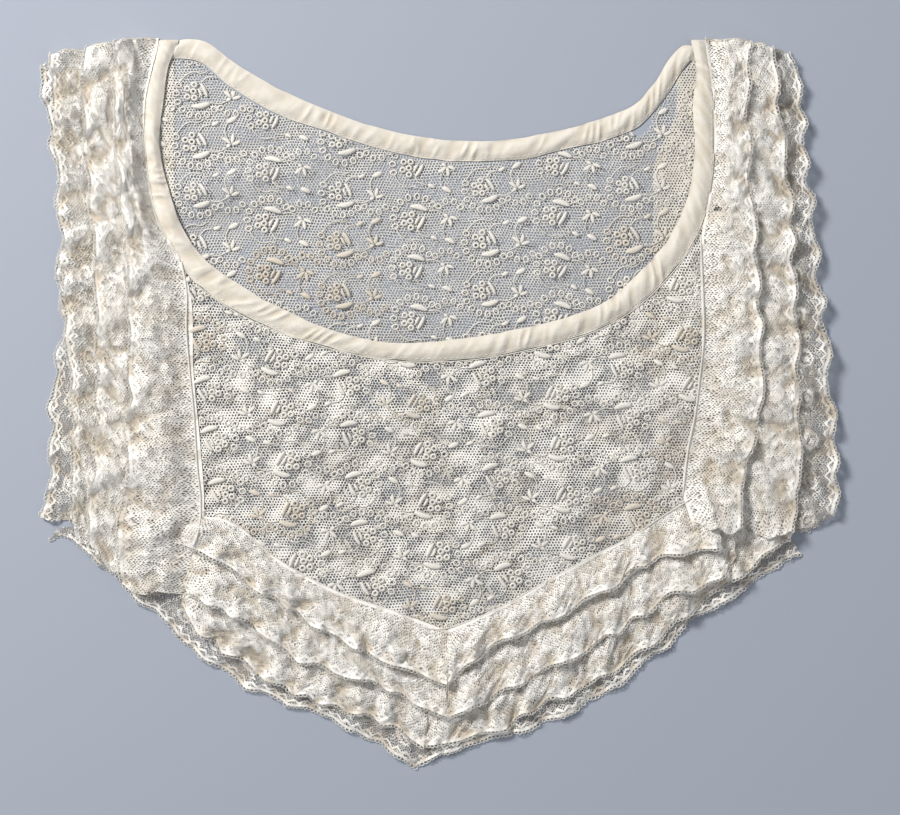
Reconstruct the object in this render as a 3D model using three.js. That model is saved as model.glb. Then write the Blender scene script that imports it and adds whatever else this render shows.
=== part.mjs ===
// A lace collar: a pull-over yoke of embroidered cotton net with a bias binding round its neck and
// rows of gathered edging lace down its sides and round its V hem. It lies flat on a surface, folded
// at the shoulders, so that its front rests on its back. Millimetres, +X right, +Y to the shoulders,
// +Z up. Every piece of cloth is a wall lofted between two guide lines and draped on what is under it.
import * as THREE from 'three';

// ---- Driving dimensions, millimetres ----
const NET_WALL = 1.2;
const LACE_WALL = 1.3;
const BINDING_EDGE_WALL = 1.2;
const BINDING_CROWN = 1.1;
const SEAM_GAP = 0.6;
const LAYER_GAP = 0.3;
const MAP_CELL = 1;
const MAP_REACH = { minX: -200, maxX: 200, minY: -185, maxY: 185 };
const FOLD_CLEARANCE = 0.3;
const RIP = { from: 90.5, to: 99.5, shoulder: 1.2, depth: 5 };

const COLOURS = {
  net: { color: 0xe9e2d6, roughness: 0.85, metalness: 0 },
  lace: { color: 0xf3eee4, roughness: 0.8, metalness: 0 },
  binding: { color: 0xebe2d0, roughness: 0.65, metalness: 0 },
};

/** Turns short lists of numbers into rows with named columns. */
function table(columns, values) {
  return values.map((row) => Object.fromEntries(columns.map((column, index) => [column, row[index]])));
}

const XY = ['x', 'y'];

// ---- Neck lines, left shoulder to right shoulder ----
const FRONT_NECK_OPEN = table(XY, [
  [-122, 168.4], [-125.5, 160.5], [-127.5, 151.5], [-130, 132.5], [-130, 113.5], [-126, 99.5], [-121.5, 85.5],
  [-113.5, 71.5], [-96.5, 57], [-64.5, 39.5], [-29, 28.5], [7.5, 29], [52.5, 37.5], [76.5, 45.5], [95, 60.5],
  [110, 78.5], [118, 97.5], [121, 118.5], [120, 135], [121.5, 153.5], [119.5, 168.4],
]);
const FRONT_NECK_SEAM = table(XY, [
  [-131, 168.4], [-134, 159.5], [-137, 144.5], [-137.5, 128], [-135.5, 104.5], [-130.5, 84.5], [-120, 66],
  [-111.5, 55], [-88, 39.5], [-51, 26], [-19.5, 20], [16, 20.5], [52.5, 27.5], [76.5, 35], [95, 46.5],
  [114, 66.5], [123.5, 83], [129, 106.5], [129.5, 137], [129, 158.5], [127, 168.4],
]);
const BACK_NECK_OPEN = table(XY, [
  [-119.5, 170], [-110, 169.5], [-96.5, 160], [-78.5, 149], [-51, 136.5], [-29, 129], [-10.5, 125], [7.5, 122.5],
  [25, 122.5], [43.5, 124.5], [61.5, 128.5], [76.5, 132.5], [93, 140], [102, 149.5], [109.5, 161.5], [115.5, 167.5],
]);
const BACK_NECK_SEAM = table(XY, [
  [-119.5, 161.6], [-111.5, 159.8], [-97.5, 148.5], [-78.5, 137], [-51, 127], [-29, 120], [-10.5, 115.5],
  [7.5, 113.5], [25, 113.5], [43.5, 115], [61.5, 119.5], [76.5, 122.5], [95, 130.5], [107, 143.5],
  [114, 154.5], [119.5, 160.8],
]);

// ---- Outlines of the net foundations, counter-clockwise from the left shoulder ----
const FRONT_LEFT_SIDE = table(XY, [
  [-151, 161.5], [-152, 142], [-150.5, 113.5], [-148, 85.5], [-146, 48], [-145.5, 1], [-147, -36.5], [-147.5, -67],
]);
const FRONT_LEFT_HEM = table(XY, [
  [-147.5, -67], [-111.5, -93], [-88, -108], [-59, -123.5], [-29.5, -134.5], [-2.5, -144.5],
]);
const FRONT_RIGHT_HEM = table(XY, [
  [-2.5, -144.5], [29.5, -134.5], [57.5, -120], [86, -105], [114, -86.5], [141, -71.5],
]);
const FRONT_RIGHT_SIDE = table(XY, [
  [141, -71.5], [152.5, -46], [154.5, 1], [151.5, 48], [149, 95], [146, 132.5], [144.5, 161.5],
]);
const BACK_LEFT_SIDE = table(XY, [
  [-159.5, 160.8], [-160, 132.5], [-158, 95], [-156.5, 48], [-157, 1], [-157.5, -36.5], [-155, -56.5],
]);
const BACK_LEFT_HEM = table(XY, [
  [-155, -56.5], [-125.5, -75], [-95, -101.5], [-62.5, -118.5], [-29.5, -131.5], [-6.5, -141],
]);
const BACK_RIGHT_HEM = table(XY, [
  [-6.5, -141], [29.5, -130], [62.5, -114.5], [90.5, -97], [121, -75], [150, -55.5],
]);
const BACK_RIGHT_SIDE = table(XY, [
  [150, -55.5], [154.5, -18], [154, 48], [152, 95], [149.5, 132.5], [147.5, 160.8],
]);

// How far along the neck seam lies the point that faces each corner of the outline.
const PANEL_ROWS = 8;
const NECK_SHARE = { leftCorner: 0.4, point: 0.535, rightCorner: 0.66 };

// The share of the front neck seam that is left to the fold at each shoulder.
const SHOULDER_SHARE = 0.0145;

// The rounded lip of a strip at the shoulder fold: how far each section reaches and how much its top drops.
const LIP_STEPS = table(['reach', 'drop'], [[0.3, 0.02], [1.25, 0.16], [1.9, 0.5]]);

// ---- Ruffles: header line (sewn) and free edge, each as x, y of the header and x, y of the edge ----
const RUFFLES = {
  back_side_ruffle_left: {
    header: [[-159.5, 163.2], [-160, 132.5], [-158, 95], [-156.5, 48], [-157, 1], [-157.5, -36.5], [-155, -56]],
    edge: [[-185.5, 163.2], [-185.5, 151.5], [-183, 137], [-181, 121], [-178.5, 104.5], [-177, 89.5], [-176.5, 74],
      [-177.5, 55], [-175, 41], [-177.5, 19.5], [-180.5, 8], [-181, -13], [-182, -36.5], [-186, -58.3]],
  },
  back_side_ruffle_right: {
    header: [[147.5, 163.2], [149.5, 132.5], [152, 95], [154, 48], [154.5, -18], [150, -54.8]],
    edge: [[163, 162.5], [165.5, 132.5], [168.5, 95], [171.5, 57.5], [174, 19.5], [176, -18], [177, -46], [173, -64]],
  },
  back_hem_ruffle_left: {
    header: [[-155, -57.4], [-125.5, -75], [-95, -101.5], [-62.5, -118.5], [-29.5, -131.5], [-6.8, -141]],
    edge: [[-183, -60], [-169.5, -65.5], [-153, -81], [-135, -96], [-115.5, -114], [-86, -134.5], [-55, -146],
      [-27, -160.5], [-10.4, -171]],
  },
  back_hem_ruffle_right: {
    header: [[-6.2, -141], [29.5, -130], [62.5, -114.5], [90.5, -97], [121, -75], [150, -56.2]],
    edge: [[-9.6, -171], [1, -165], [29.5, -156.5], [57.5, -147.5], [83.5, -132.5], [104.5, -116.5], [123.5, -99],
      [147, -84.5], [173, -67.5]],
  },
  side_ruffle_left_outer: {
    header: [[-152.5, 164], [-154, 142], [-152, 113.5], [-149, 85.5], [-147, 48], [-146, 1], [-147.5, -32],
      [-150, -55.5], [-153, -72.5]],
    edge: [[-181, 164], [-180, 144.5], [-178.5, 123], [-176.5, 95], [-175.5, 71.5], [-174.5, 48], [-172.5, 24.5],
      [-171, 1], [-170.5, -22.5], [-171.5, -46], [-173.5, -60]],
  },
  side_ruffle_right_outer: {
    header: [[146, 164], [147, 137], [149.5, 99.5], [152.5, 57.5], [155.5, 1], [156.5, -36.5], [155.5, -60]],
    edge: [[165.5, 164], [169, 147.5], [171, 132.5], [172, 113.5], [174, 97.5], [176.5, 76], [178.5, 55], [180.5, 36],
      [182.5, 15], [185, -8.5], [186, -27.5], [186.5, -46], [183.5, -59]],
  },
  side_ruffle_left_middle: {
    header: [[-139.5, 166.6], [-141.5, 137], [-139.5, 109], [-136, 81], [-133, 48], [-133, 1], [-134, -32],
      [-136.5, -60], [-140, -83.5]],
    edge: [[-164.5, 166.6], [-165.5, 142], [-163.5, 113.5], [-161, 85.5], [-159, 48], [-159, 1], [-160.5, -32],
      [-162.5, -55.5], [-161.5, -74.5]],
  },
  side_ruffle_right_middle: {
    header: [[133.5, 166.6], [133.5, 132.5], [136.5, 95], [139.5, 48], [142, 1], [141, -36.5], [140.5, -57]],
    edge: [[157, 166.6], [159.5, 137], [163.5, 109], [165.5, 76], [167, 48], [168.5, 1], [169, -36.5], [166, -58]],
  },
  hem_ruffle_left_lower: {
    header: [[-108.5, -90], [-88, -105], [-74, -113.5], [-43.5, -125], [-15.5, -135.5], [-4.2, -140]],
    edge: [[-119.5, -96.5], [-109.5, -109.5], [-95, -119], [-67, -136.5], [-39, -145.5], [-17.5, -154], [-7, -162]],
  },
  hem_ruffle_right_lower: {
    header: [[-3.4, -140], [29.5, -130.5], [57.5, -116], [86, -101], [114, -79], [133, -65], [147, -55.5],
      [160, -48.5]],
    edge: [[-6.2, -162], [29.5, -153], [43.5, -144], [71.5, -132], [102, -112], [123.5, -93], [137.5, -84.5],
      [146, -77.5], [156.5, -68], [169.5, -60.5]],
  },
  hem_ruffle_left_middle: {
    header: [[-109, -68.5], [-95, -74.5], [-81, -83.5], [-57.5, -101.5], [-41, -107], [-10.5, -118], [3.2, -123]],
    edge: [[-115, -88.5], [-104.5, -95.5], [-88, -103.5], [-64.5, -120.5], [-43.5, -126.5], [-20, -135.5],
      [4, -147.5]],
  },
  hem_ruffle_right_middle: {
    header: [[4, -123], [29.5, -112], [57.5, -98], [86, -83.5], [97.5, -75], [111.5, -69.5], [122.5, -66],
      [136.5, -56.5]],
    edge: [[4.8, -147.5], [29.5, -135.5], [53, -123.5], [78.5, -110.5], [100, -95.5], [114, -88], [126, -86],
      [140, -74.5]],
  },
  hem_ruffle_left_upper: {
    header: [[-109.5, -53.5], [-98.5, -55.5], [-90.5, -60], [-74, -74.5], [-46, -89.5], [-17.5, -99], [4, -107]],
    edge: [[-116, -68], [-101.5, -74.5], [-88, -84.5], [-65.5, -99], [-43.5, -112], [-20, -122.5], [4, -131.5]],
  },
  hem_ruffle_right_upper: {
    header: [[4.8, -107], [29.5, -96.5], [57.5, -80.5], [76.5, -70.5], [90.5, -63.5], [106, -53], [116, -47],
      [128, -46.5]],
    edge: [[4.8, -131.5], [20, -117.5], [48, -103.5], [78.5, -87.5], [97.5, -74.5], [114, -69.5], [125, -69],
      [135, -67]],
  },
  side_ruffle_left_inner: {
    header: [[-135.5, 169.2], [-138.8, 144.5], [-139.4, 128], [-137.4, 104.5], [-132.4, 84.5], [-122.4, 66],
      [-117.5, 48], [-116.5, 15], [-113, -22.5], [-111.5, -46], [-113, -67], [-118, -91]],
    edge: [[-150, 169.2], [-151, 142], [-149, 113.5], [-145.5, 85.5], [-143.5, 48], [-143.5, 1], [-145, -36.5],
      [-148.5, -65], [-148, -88.5]],
  },
  side_ruffle_right_inner: {
    header: [[130, 169.2], [131.4, 137], [131.4, 113.5], [129, 95], [125.5, 76], [125.5, 48], [125.5, 20.5],
      [122, -6], [118.5, -23.5], [117, -44], [121, -54.5]],
    edge: [[146, 169.2], [144.5, 137], [146, 95], [149, 62], [150.5, 29], [150, -4], [146, -22.5], [141, -41.5],
      [141, -55.5]],
  },
};

// Waves of each ruffle: how many, how high at the free edge, how far they lean along the row, the scallop
// that they give the edge, where the first one starts, the sections along and across the strip, the layer
// it lies in, counted up from the surface, and whether its first end turns down over the shoulder fold.
const WAVES = table(['name', 'waves', 'height', 'lean', 'scallop', 'start', 'along', 'across', 'layer', 'folded'], [
  ['back_side_ruffle_left', 9, 1.0, 0.01, 1.2, 0.2, 36, 2, 0, false],
  ['back_side_ruffle_right', 8, 1.0, -0.01, 0.8, 0.6, 30, 2, 0, false],
  ['back_hem_ruffle_left', 7, 1.2, 0.01, 1.0, 0.1, 28, 2, 0, false],
  ['back_hem_ruffle_right', 7, 1.2, -0.01, 1.0, 0.5, 28, 2, 0, false],
  ['side_ruffle_left_outer', 9, 2.8, 0.06, 1.2, 0.3, 44, 3, 1, true],
  ['side_ruffle_right_outer', 10, 2.8, 0.03, 1.6, 0.7, 48, 3, 1, true],
  ['side_ruffle_left_middle', 9, 3.2, 0.06, 1.0, 0.0, 44, 3, 2, true],
  ['side_ruffle_left_inner', 9, 3.4, 0.06, 1.0, 0.5, 44, 3, 3, true],
  ['hem_ruffle_left_lower', 8, 2.8, 0.03, 1.2, 0.2, 32, 3, 4, false],
  ['hem_ruffle_right_lower', 9, 2.8, -0.03, 1.2, 0.6, 36, 3, 4, false],
  ['hem_ruffle_left_middle', 7, 2.6, 0.03, 1.2, 0.8, 28, 3, 5, false],
  ['hem_ruffle_right_middle', 7, 2.6, -0.03, 1.2, 0.1, 30, 3, 5, false],
  ['hem_ruffle_left_upper', 7, 2.8, 0.03, 1.2, 0.4, 28, 3, 6, false],
  ['hem_ruffle_right_upper', 7, 2.8, -0.03, 1.2, 0.9, 30, 3, 6, false],
  ['side_ruffle_right_middle', 9, 2.8, 0.03, 1.0, 0.4, 42, 3, 7, true],
  ['side_ruffle_right_inner', 8, 3, 0.03, 1.0, 0.2, 40, 3, 8, true],
]);
const SURFACE_LAYER = 0;

// Soft ridges of each net panel, from one end to the other: height at the middle and half width.
const RIDGE = ['x0', 'y0', 'x1', 'y1', 'height', 'halfWidth'];
const FRONT_RIDGES = table(RIDGE, [
  [15.5, -11, 39, -25, 4, 9],
  [57.5, -18, 53, -74, 3.5, 9],
  [76.5, -32, 100, -32, 4.5, 12],
  [-93, -18, -69.5, -55.5, 3, 11],
  [-64.5, -8.5, -17.5, 1, 2.5, 12],
  [-8, -74.5, 15.5, -93, 2.5, 10],
  [64.5, 8, 100, 1, 3.5, 10],
  [114, 48, 116, -8.5, 2.5, 8],
  [20, -36.5, 24.5, -74.5, 3, 8],
]);
const BACK_RIDGES = table(RIDGE, [
  [-112, 98, -50, 113, 2.5, 9],
  [80, 110, 98, 97, 2.5, 8],
  [-41, 76, -8, 48, 1.5, 12],
  [39, 92, 57, 55, 1.5, 12],
]);

/** The highest cloth so far over every square cell of the surface. */
class HeightMap {
  constructor(reach, cell) {
    this.reach = reach;
    this.cell = cell;
    this.columns = Math.ceil((reach.maxX - reach.minX) / cell);
    this.rows = Math.ceil((reach.maxY - reach.minY) / cell);
    this.heights = new Float64Array(this.columns * this.rows);
  }

  /** Calls visit(index, x, y) for each cell that the triangle a, b, c touches in plan. */
  eachCell(a, b, c, visit) {
    const margin = this.cell * Math.SQRT1_2;
    const turn = Math.sign((b.x - a.x) * (c.y - a.y) - (b.y - a.y) * (c.x - a.x)) || 1;
    const sides = [[a, b], [b, c], [c, a]].map(([from, to]) => {
      const length = Math.hypot(to.x - from.x, to.y - from.y) || 1;
      return { from, nx: (-turn * (to.y - from.y)) / length, ny: (turn * (to.x - from.x)) / length };
    });
    const span = (values, low) => [Math.min(...values), Math.max(...values)]
      .map((value) => Math.floor((value - low) / this.cell));
    const [column0, column1] = span([a.x, b.x, c.x], this.reach.minX);
    const [row0, row1] = span([a.y, b.y, c.y], this.reach.minY);
    for (let row = Math.max(0, row0 - 1); row <= Math.min(this.rows - 1, row1 + 1); row += 1) {
      for (let column = Math.max(0, column0 - 1); column <= Math.min(this.columns - 1, column1 + 1); column += 1) {
        const x = this.reach.minX + (column + 0.5) * this.cell;
        const y = this.reach.minY + (row + 0.5) * this.cell;
        const touches = sides.every((side) => (x - side.from.x) * side.nx + (y - side.from.y) * side.ny > -margin);
        if (touches) visit(row * this.columns + column, x, y);
      }
    }
  }

  /** Highest cloth under a triangle. */
  under(a, b, c) {
    let highest = 0;
    this.eachCell(a, b, c, (index) => {
      highest = Math.max(highest, this.heights[index]);
    });
    return highest;
  }

  /** Records the top of a triangle of cloth, never lower than its facet within the cell. */
  cover(a, b, c) {
    const normal = new THREE.Vector3().subVectors(b, a).cross(new THREE.Vector3().subVectors(c, a));
    const crest = Math.max(a.z, b.z, c.z);
    const upright = Math.abs(normal.z) < 1e-6;
    const slopeX = upright ? 0 : -normal.x / normal.z;
    const slopeY = upright ? 0 : -normal.y / normal.z;
    const spare = ((Math.abs(slopeX) + Math.abs(slopeY)) * this.cell) / 2;
    this.eachCell(a, b, c, (index, x, y) => {
      const facet = upright ? crest : a.z + slopeX * (x - a.x) + slopeY * (y - a.y) + spare;
      this.heights[index] = Math.max(this.heights[index], Math.min(crest, facet));
    });
  }
}

const cloth = new HeightMap(MAP_REACH, MAP_CELL);

/** A smooth line through a table of points. */
function guide(points) {
  const knots = points.map((point) => new THREE.Vector3(point.x, point.y, 0));
  const curve = new THREE.CatmullRomCurve3(knots, false, 'centripetal');
  curve.arcLengthDivisions = 400;
  return (share) => curve.getPointAt(THREE.MathUtils.clamp(share, 0, 1));
}

/** One line made of several guides in a row; breaks are the shares where one ends and the next starts. */
function joinedGuide(parts, breaks) {
  return (share) => {
    const part = Math.min(parts.length - 1, Math.max(0, breaks.findIndex((end) => share <= end)));
    const start = part === 0 ? 0 : breaks[part - 1];
    return parts[part]((share - start) / (breaks[part] - start));
  };
}

/** Moves a guide sideways, to the right of its direction for a positive distance. */
function besideGuide(line, distance) {
  const step = 0.002;
  return (share) => {
    const before = line(Math.max(0, share - step));
    const after = line(Math.min(1, share + step));
    const along = after.sub(before).normalize();
    const point = line(share);
    return new THREE.Vector3(point.x + along.y * distance, point.y - along.x * distance, 0);
  };
}

/** The stretch of a guide between two shares of its length. */
function stretchOf(line, from, to) {
  return (share) => line(from + share * (to - from));
}

/** Even shares from 0 to 1. */
function evenShares(count) {
  return Array.from({ length: count + 1 }, (unused, index) => index / count);
}

/** Height of a set of soft ridges at a point. */
function ridgeHeight(ridges, x, y) {
  return ridges.reduce((total, ridge) => {
    const dx = ridge.x1 - ridge.x0;
    const dy = ridge.y1 - ridge.y0;
    const along = THREE.MathUtils.clamp(((x - ridge.x0) * dx + (y - ridge.y0) * dy) / (dx * dx + dy * dy), 0, 1);
    const away = Math.hypot(x - ridge.x0 - along * dx, y - ridge.y0 - along * dy) / ridge.halfWidth;
    return total + ridge.height * Math.exp(-away * away);
  }, 0);
}

/** Plan points of a strip, as a grid: one column for each share along it, one row for each step across. */
function planGrid(inner, outer, shares, across, scallop = () => 0) {
  return shares.map((share) => {
    const from = inner(share);
    const to = outer(share);
    const width = from.distanceTo(to);
    const reach = 1 + scallop(share) / width;
    return Array.from({ length: across + 1 }, (unused, row) => (
      new THREE.Vector3().lerpVectors(from, to, (row / across) * (row === across ? reach : 1))
    ));
  });
}

/** The two plan triangles of each cell of a grid, as [column, row] corners. */
function gridTriangles(columns, rows) {
  const triangles = [];
  for (let column = 0; column < columns; column += 1) {
    for (let row = 0; row < rows; row += 1) {
      const corners = [[column, row], [column + 1, row], [column + 1, row + 1], [column, row + 1]];
      const rising = (column + row) % 2 === 0;
      triangles.push(rising ? [corners[0], corners[1], corners[2]] : [corners[0], corners[1], corners[3]]);
      triangles.push(rising ? [corners[0], corners[2], corners[3]] : [corners[1], corners[2], corners[3]]);
    }
  }
  return triangles;
}

/** Rests a grid on the cloth below it: each vertex clears everything under the facets that meet there. */
function drape(grid, triangles) {
  const rest = grid.map((column) => column.map(() => 0));
  triangles.forEach((corners) => {
    const [a, b, c] = corners.map(([column, row]) => grid[column][row]);
    const height = cloth.under(a, b, c);
    const clear = height > 0 ? height + LAYER_GAP : 0;
    corners.forEach(([column, row]) => {
      rest[column][row] = Math.max(rest[column][row], clear);
    });
  });
  return rest;
}

/** Evens a draped grid out upwards, as cloth spans a hollow. */
function spanHollows(rest, passes) {
  let current = rest;
  for (let pass = 0; pass < passes; pass += 1) {
    current = current.map((column, i) => column.map((height, j) => {
      const near = [current[i - 1]?.[j], current[i + 1]?.[j], column[j - 1], column[j + 1]]
        .filter((value) => value !== undefined);
      const mean = near.reduce((sum, value) => sum + value, 0) / near.length;
      return Math.max(height, (height + mean) / 2);
    }));
  }
  return current;
}

/** Adds the rounded lip with which a strip turns down over the shoulder fold, beyond its first or last column. */
function foldLip(top, bottom, atStart) {
  const edge = top[atStart ? 0 : top.length - 1];
  LIP_STEPS.forEach((step) => {
    const topColumn = edge.map((point) => (
      new THREE.Vector3(point.x, point.y + step.reach, point.z * (1 - step.drop))
    ));
    const bottomColumn = topColumn.map((point) => new THREE.Vector3(point.x, point.y, FOLD_CLEARANCE));
    if (atStart) {
      top.unshift(topColumn);
      bottom.unshift(bottomColumn);
    } else {
      top.push(topColumn);
      bottom.push(bottomColumn);
    }
  });
}

/** A closed wall between a top grid and a bottom grid of the same size. */
function wallGeometry(top, bottom) {
  const columns = top.length - 1;
  const rows = top[0].length - 1;
  const positions = [];
  [top, bottom].forEach((grid) => grid.forEach((column) => column.forEach((point) => {
    positions.push(point.x, point.y, point.z);
  })));
  const index = (sheet, column, row) => sheet * (columns + 1) * (rows + 1) + column * (rows + 1) + row;
  const faces = [];
  gridTriangles(columns, rows).forEach((corners) => {
    const [a, b, c] = corners.map(([column, row]) => index(0, column, row));
    faces.push(a, b, c);
    const [d, e, f] = corners.map(([column, row]) => index(1, column, row));
    faces.push(d, f, e);
  });
  const rim = [];
  for (let column = 0; column < columns; column += 1) rim.push([column, 0]);
  for (let row = 0; row < rows; row += 1) rim.push([columns, row]);
  for (let column = columns; column > 0; column -= 1) rim.push([column, rows]);
  for (let row = rows; row > 0; row -= 1) rim.push([0, row]);
  rim.forEach((corner, order) => {
    const next = rim[(order + 1) % rim.length];
    const [a, b] = [index(0, ...corner), index(0, ...next)];
    const [c, d] = [index(1, ...corner), index(1, ...next)];
    faces.push(a, c, d, a, d, b);
  });
  // Where the grid turns clockwise in plan, every face is turned round, to point outwards.
  if (planTurn(top) < 0) {
    for (let face = 0; face < faces.length; face += 3) faces.splice(face + 1, 2, faces[face + 2], faces[face + 1]);
  }
  const geometry = new THREE.BufferGeometry();
  geometry.setAttribute('position', new THREE.Float32BufferAttribute(positions, 3));
  geometry.setIndex(faces);
  geometry.computeVertexNormals();
  return geometry;
}

/** Signed plan area of a grid's facets: positive where columns then rows turn counter-clockwise. */
function planTurn(grid) {
  return gridTriangles(grid.length - 1, grid[0].length - 1).reduce((total, corners) => {
    const [a, b, c] = corners.map(([column, row]) => grid[column][row]);
    return total + (b.x - a.x) * (c.y - a.y) - (b.y - a.y) * (c.x - a.x);
  }, 0);
}

/** Builds one piece of cloth, and gives its mesh and a function that records it in the height map. */
function clothPiece({ name, finish, grid, relief, wall, onSurface = false, passes = 2, folds = [] }) {
  const triangles = gridTriangles(grid.length - 1, grid[0].length - 1);
  const flat = grid.map((column) => column.map(() => 0));
  const rest = onSurface ? flat : spanHollows(drape(grid, triangles), passes);
  const bottom = grid.map((column, i) => column.map((point, j) => (
    new THREE.Vector3(point.x, point.y, rest[i][j] + relief(i, j, point))
  )));
  const top = bottom.map((column, i) => column.map((point, j) => (
    new THREE.Vector3(point.x, point.y, point.z + wall(i, j))
  )));
  folds.forEach((fold) => foldLip(top, bottom, fold === 'start'));
  const mesh = new THREE.Mesh(wallGeometry(top, bottom), new THREE.MeshStandardMaterial(COLOURS[finish]));
  mesh.name = name;
  const record = () => gridTriangles(top.length - 1, top[0].length - 1).forEach((corners) => {
    cloth.cover(...corners.map(([column, row]) => top[column][row]));
  });
  return { mesh, record };
}

/** A net panel between its neck seam and its outline, with the outline's corners on its columns. */
function netPanel({ name, neck, sides, along, ridges, onSurface, extraShares = [] }) {
  const breaks = [NECK_SHARE.leftCorner, NECK_SHARE.point, NECK_SHARE.rightCorner, 1];
  const outline = joinedGuide(sides.map(guide), breaks);
  const starts = [0, ...breaks];
  const shares = along.flatMap((count, part) => {
    const length = starts[part + 1] - starts[part];
    return evenShares(count).slice(part === 0 ? 0 : 1).map((share) => starts[part] + share * length);
  });
  const allShares = [...new Set([...shares, ...extraShares])].sort((a, b) => a - b);
  const grid = planGrid(neck, outline, allShares, PANEL_ROWS);
  return clothPiece({
    name,
    finish: 'net',
    grid,
    relief: (i, j, point) => ridgeHeight(ridges, point.x, point.y) * Math.min(1, i / 2, (grid.length - 1 - i) / 2),
    wall: () => NET_WALL,
    onSurface,
    folds: onSurface ? [] : ['start', 'end'],
  });
}

/** Shares of a line at which it first passes the given x, searched from its middle to its end. */
function shareAtX(line, x) {
  const steps = 2000;
  for (let step = steps / 2; step <= steps; step += 1) {
    if (line(step / steps).x >= x) return step / steps;
  }
  return 1;
}

/** A gathered strip of lace: waves grow from nothing at the header to full height at the free edge. */
function ruffle(row) {
  const { header, edge } = RUFFLES[row.name];
  const inner = guide(table(XY, header));
  const outer = guide(table(XY, edge));
  const phase = (share) => row.start + row.waves * share
    + 0.2 * Math.sin(2 * Math.PI * (1.3 * share + row.start))
    + 0.11 * Math.sin(2 * Math.PI * (3.1 * share + 2 * row.start));
  const shares = evenShares(row.along);
  const grid = planGrid(inner, outer, shares, row.across, (share) => (
    row.scallop * Math.cos(2 * Math.PI * phase(share)) * Math.min(1, 6 * share, 6 * (1 - share))
  ));
  return clothPiece({
    name: row.name,
    finish: 'lace',
    grid,
    relief: (i, j) => {
      const across = j / row.across;
      const share = shares[i];
      const swell = 0.75 + 0.25 * Math.sin(2 * Math.PI * (2.3 * share + row.start));
      const crest = 0.5 + 0.5 * Math.cos(2 * Math.PI * (phase(share) - row.lean * row.waves * across));
      return row.height * swell * across ** 0.8 * crest;
    },
    wall: () => LACE_WALL,
    onSurface: row.layer === SURFACE_LAYER,
    passes: 1,
    folds: row.folded ? ['start'] : [],
  });
}

/** Builds the ruffles of one layer: each rests on the layers below, and then all are recorded. */
function ruffleLayer(layer) {
  const pieces = WAVES.filter((row) => row.layer === layer).map(ruffle);
  pieces.forEach((piece) => piece.record());
  return pieces;
}

/** The bias binding between a neck opening and its seam: a flat band with a soft crown. */
function binding({ name, open, seam, along, across, onSurface, folds }) {
  const grid = planGrid(open, seam, evenShares(along), across);
  return clothPiece({
    name,
    finish: 'binding',
    grid,
    relief: () => 0,
    wall: (i, j) => BINDING_EDGE_WALL + BINDING_CROWN * Math.sin((Math.PI * j) / across),
    onSurface,
    folds,
  });
}

// ---- The back, flat on the surface ----
const backSeam = guide(BACK_NECK_SEAM);
const ripShares = [RIP.from, RIP.from + RIP.shoulder, (RIP.from + RIP.to) / 2, RIP.to - RIP.shoulder, RIP.to]
  .map((x) => shareAtX(backSeam, x));
const ripDepth = (share) => {
  const [start, inStart, , inEnd, end] = ripShares;
  return RIP.depth * Math.min(
    THREE.MathUtils.smoothstep(share, start, inStart),
    1 - THREE.MathUtils.smoothstep(share, inEnd, end),
  );
};
const backPanelEdge = (share) => besideGuide(backSeam, SEAM_GAP + ripDepth(share))(share);
const insetPanelSides = (sides) => sides.map((side) => table(XY, guideOffset(side, -SEAM_GAP)));

/** The points of a table moved sideways by a distance, as bare rows again. */
function guideOffset(points, distance) {
  return points.map((point, index) => {
    const before = points[Math.max(0, index - 1)];
    const after = points[Math.min(points.length - 1, index + 1)];
    const length = Math.hypot(after.x - before.x, after.y - before.y);
    return [
      point.x + ((after.y - before.y) / length) * distance,
      point.y - ((after.x - before.x) / length) * distance,
    ];
  });
}

const backPanel = netPanel({
  name: 'back_panel',
  neck: backPanelEdge,
  sides: insetPanelSides([BACK_LEFT_SIDE, BACK_LEFT_HEM, BACK_RIGHT_HEM, BACK_RIGHT_SIDE]),
  along: [14, 10, 10, 14],
  ridges: BACK_RIDGES,
  onSurface: true,
  extraShares: ripShares,
});
const backBinding = binding({
  name: 'neck_binding_back',
  open: guide(BACK_NECK_OPEN),
  seam: backSeam,
  along: 30,
  across: 3,
  onSurface: true,
  folds: [],
});
backPanel.record();
backBinding.record();
const backRuffles = ruffleLayer(SURFACE_LAYER);

// ---- The front, resting on the back ----
const frontSeam = guide(FRONT_NECK_SEAM);
const frontPanel = netPanel({
  name: 'front_panel',
  neck: besideGuide(stretchOf(frontSeam, SHOULDER_SHARE, 1 - SHOULDER_SHARE), SEAM_GAP),
  sides: [FRONT_LEFT_SIDE, FRONT_LEFT_HEM, FRONT_RIGHT_HEM, FRONT_RIGHT_SIDE],
  along: [15, 8, 8, 15],
  ridges: FRONT_RIDGES,
  onSurface: false,
});
const frontBinding = binding({
  name: 'neck_binding_front',
  open: guide(FRONT_NECK_OPEN),
  seam: frontSeam,
  along: 52,
  across: 3,
  onSurface: false,
  folds: ['start', 'end'],
});
frontPanel.record();
const frontLayers = [...new Set(WAVES.map((row) => row.layer))].filter((layer) => layer !== SURFACE_LAYER);
const frontRuffles = frontLayers.flatMap(ruffleLayer);

// ---- The collar, with its origin at the bottom centre of its box ----
const collar = new THREE.Group();
collar.name = 'lace_collar';
[backPanel, backBinding, ...backRuffles, frontPanel, frontBinding, ...frontRuffles].forEach((piece) => {
  collar.add(piece.mesh);
});
const box = new THREE.Box3().setFromObject(collar);
collar.position.set(-(box.min.x + box.max.x) / 2, -(box.min.y + box.max.y) / 2, -box.min.z);

export default collar;
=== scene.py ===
"""A lace collar laid flat: an embroidered net yoke with a bound neck and rows of gathered edging.

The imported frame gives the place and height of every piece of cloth. Each one is dressed here as a
fine sheet that follows its own guide lines, with its creases, net, embroidery, picots and sewing.
"""

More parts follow.
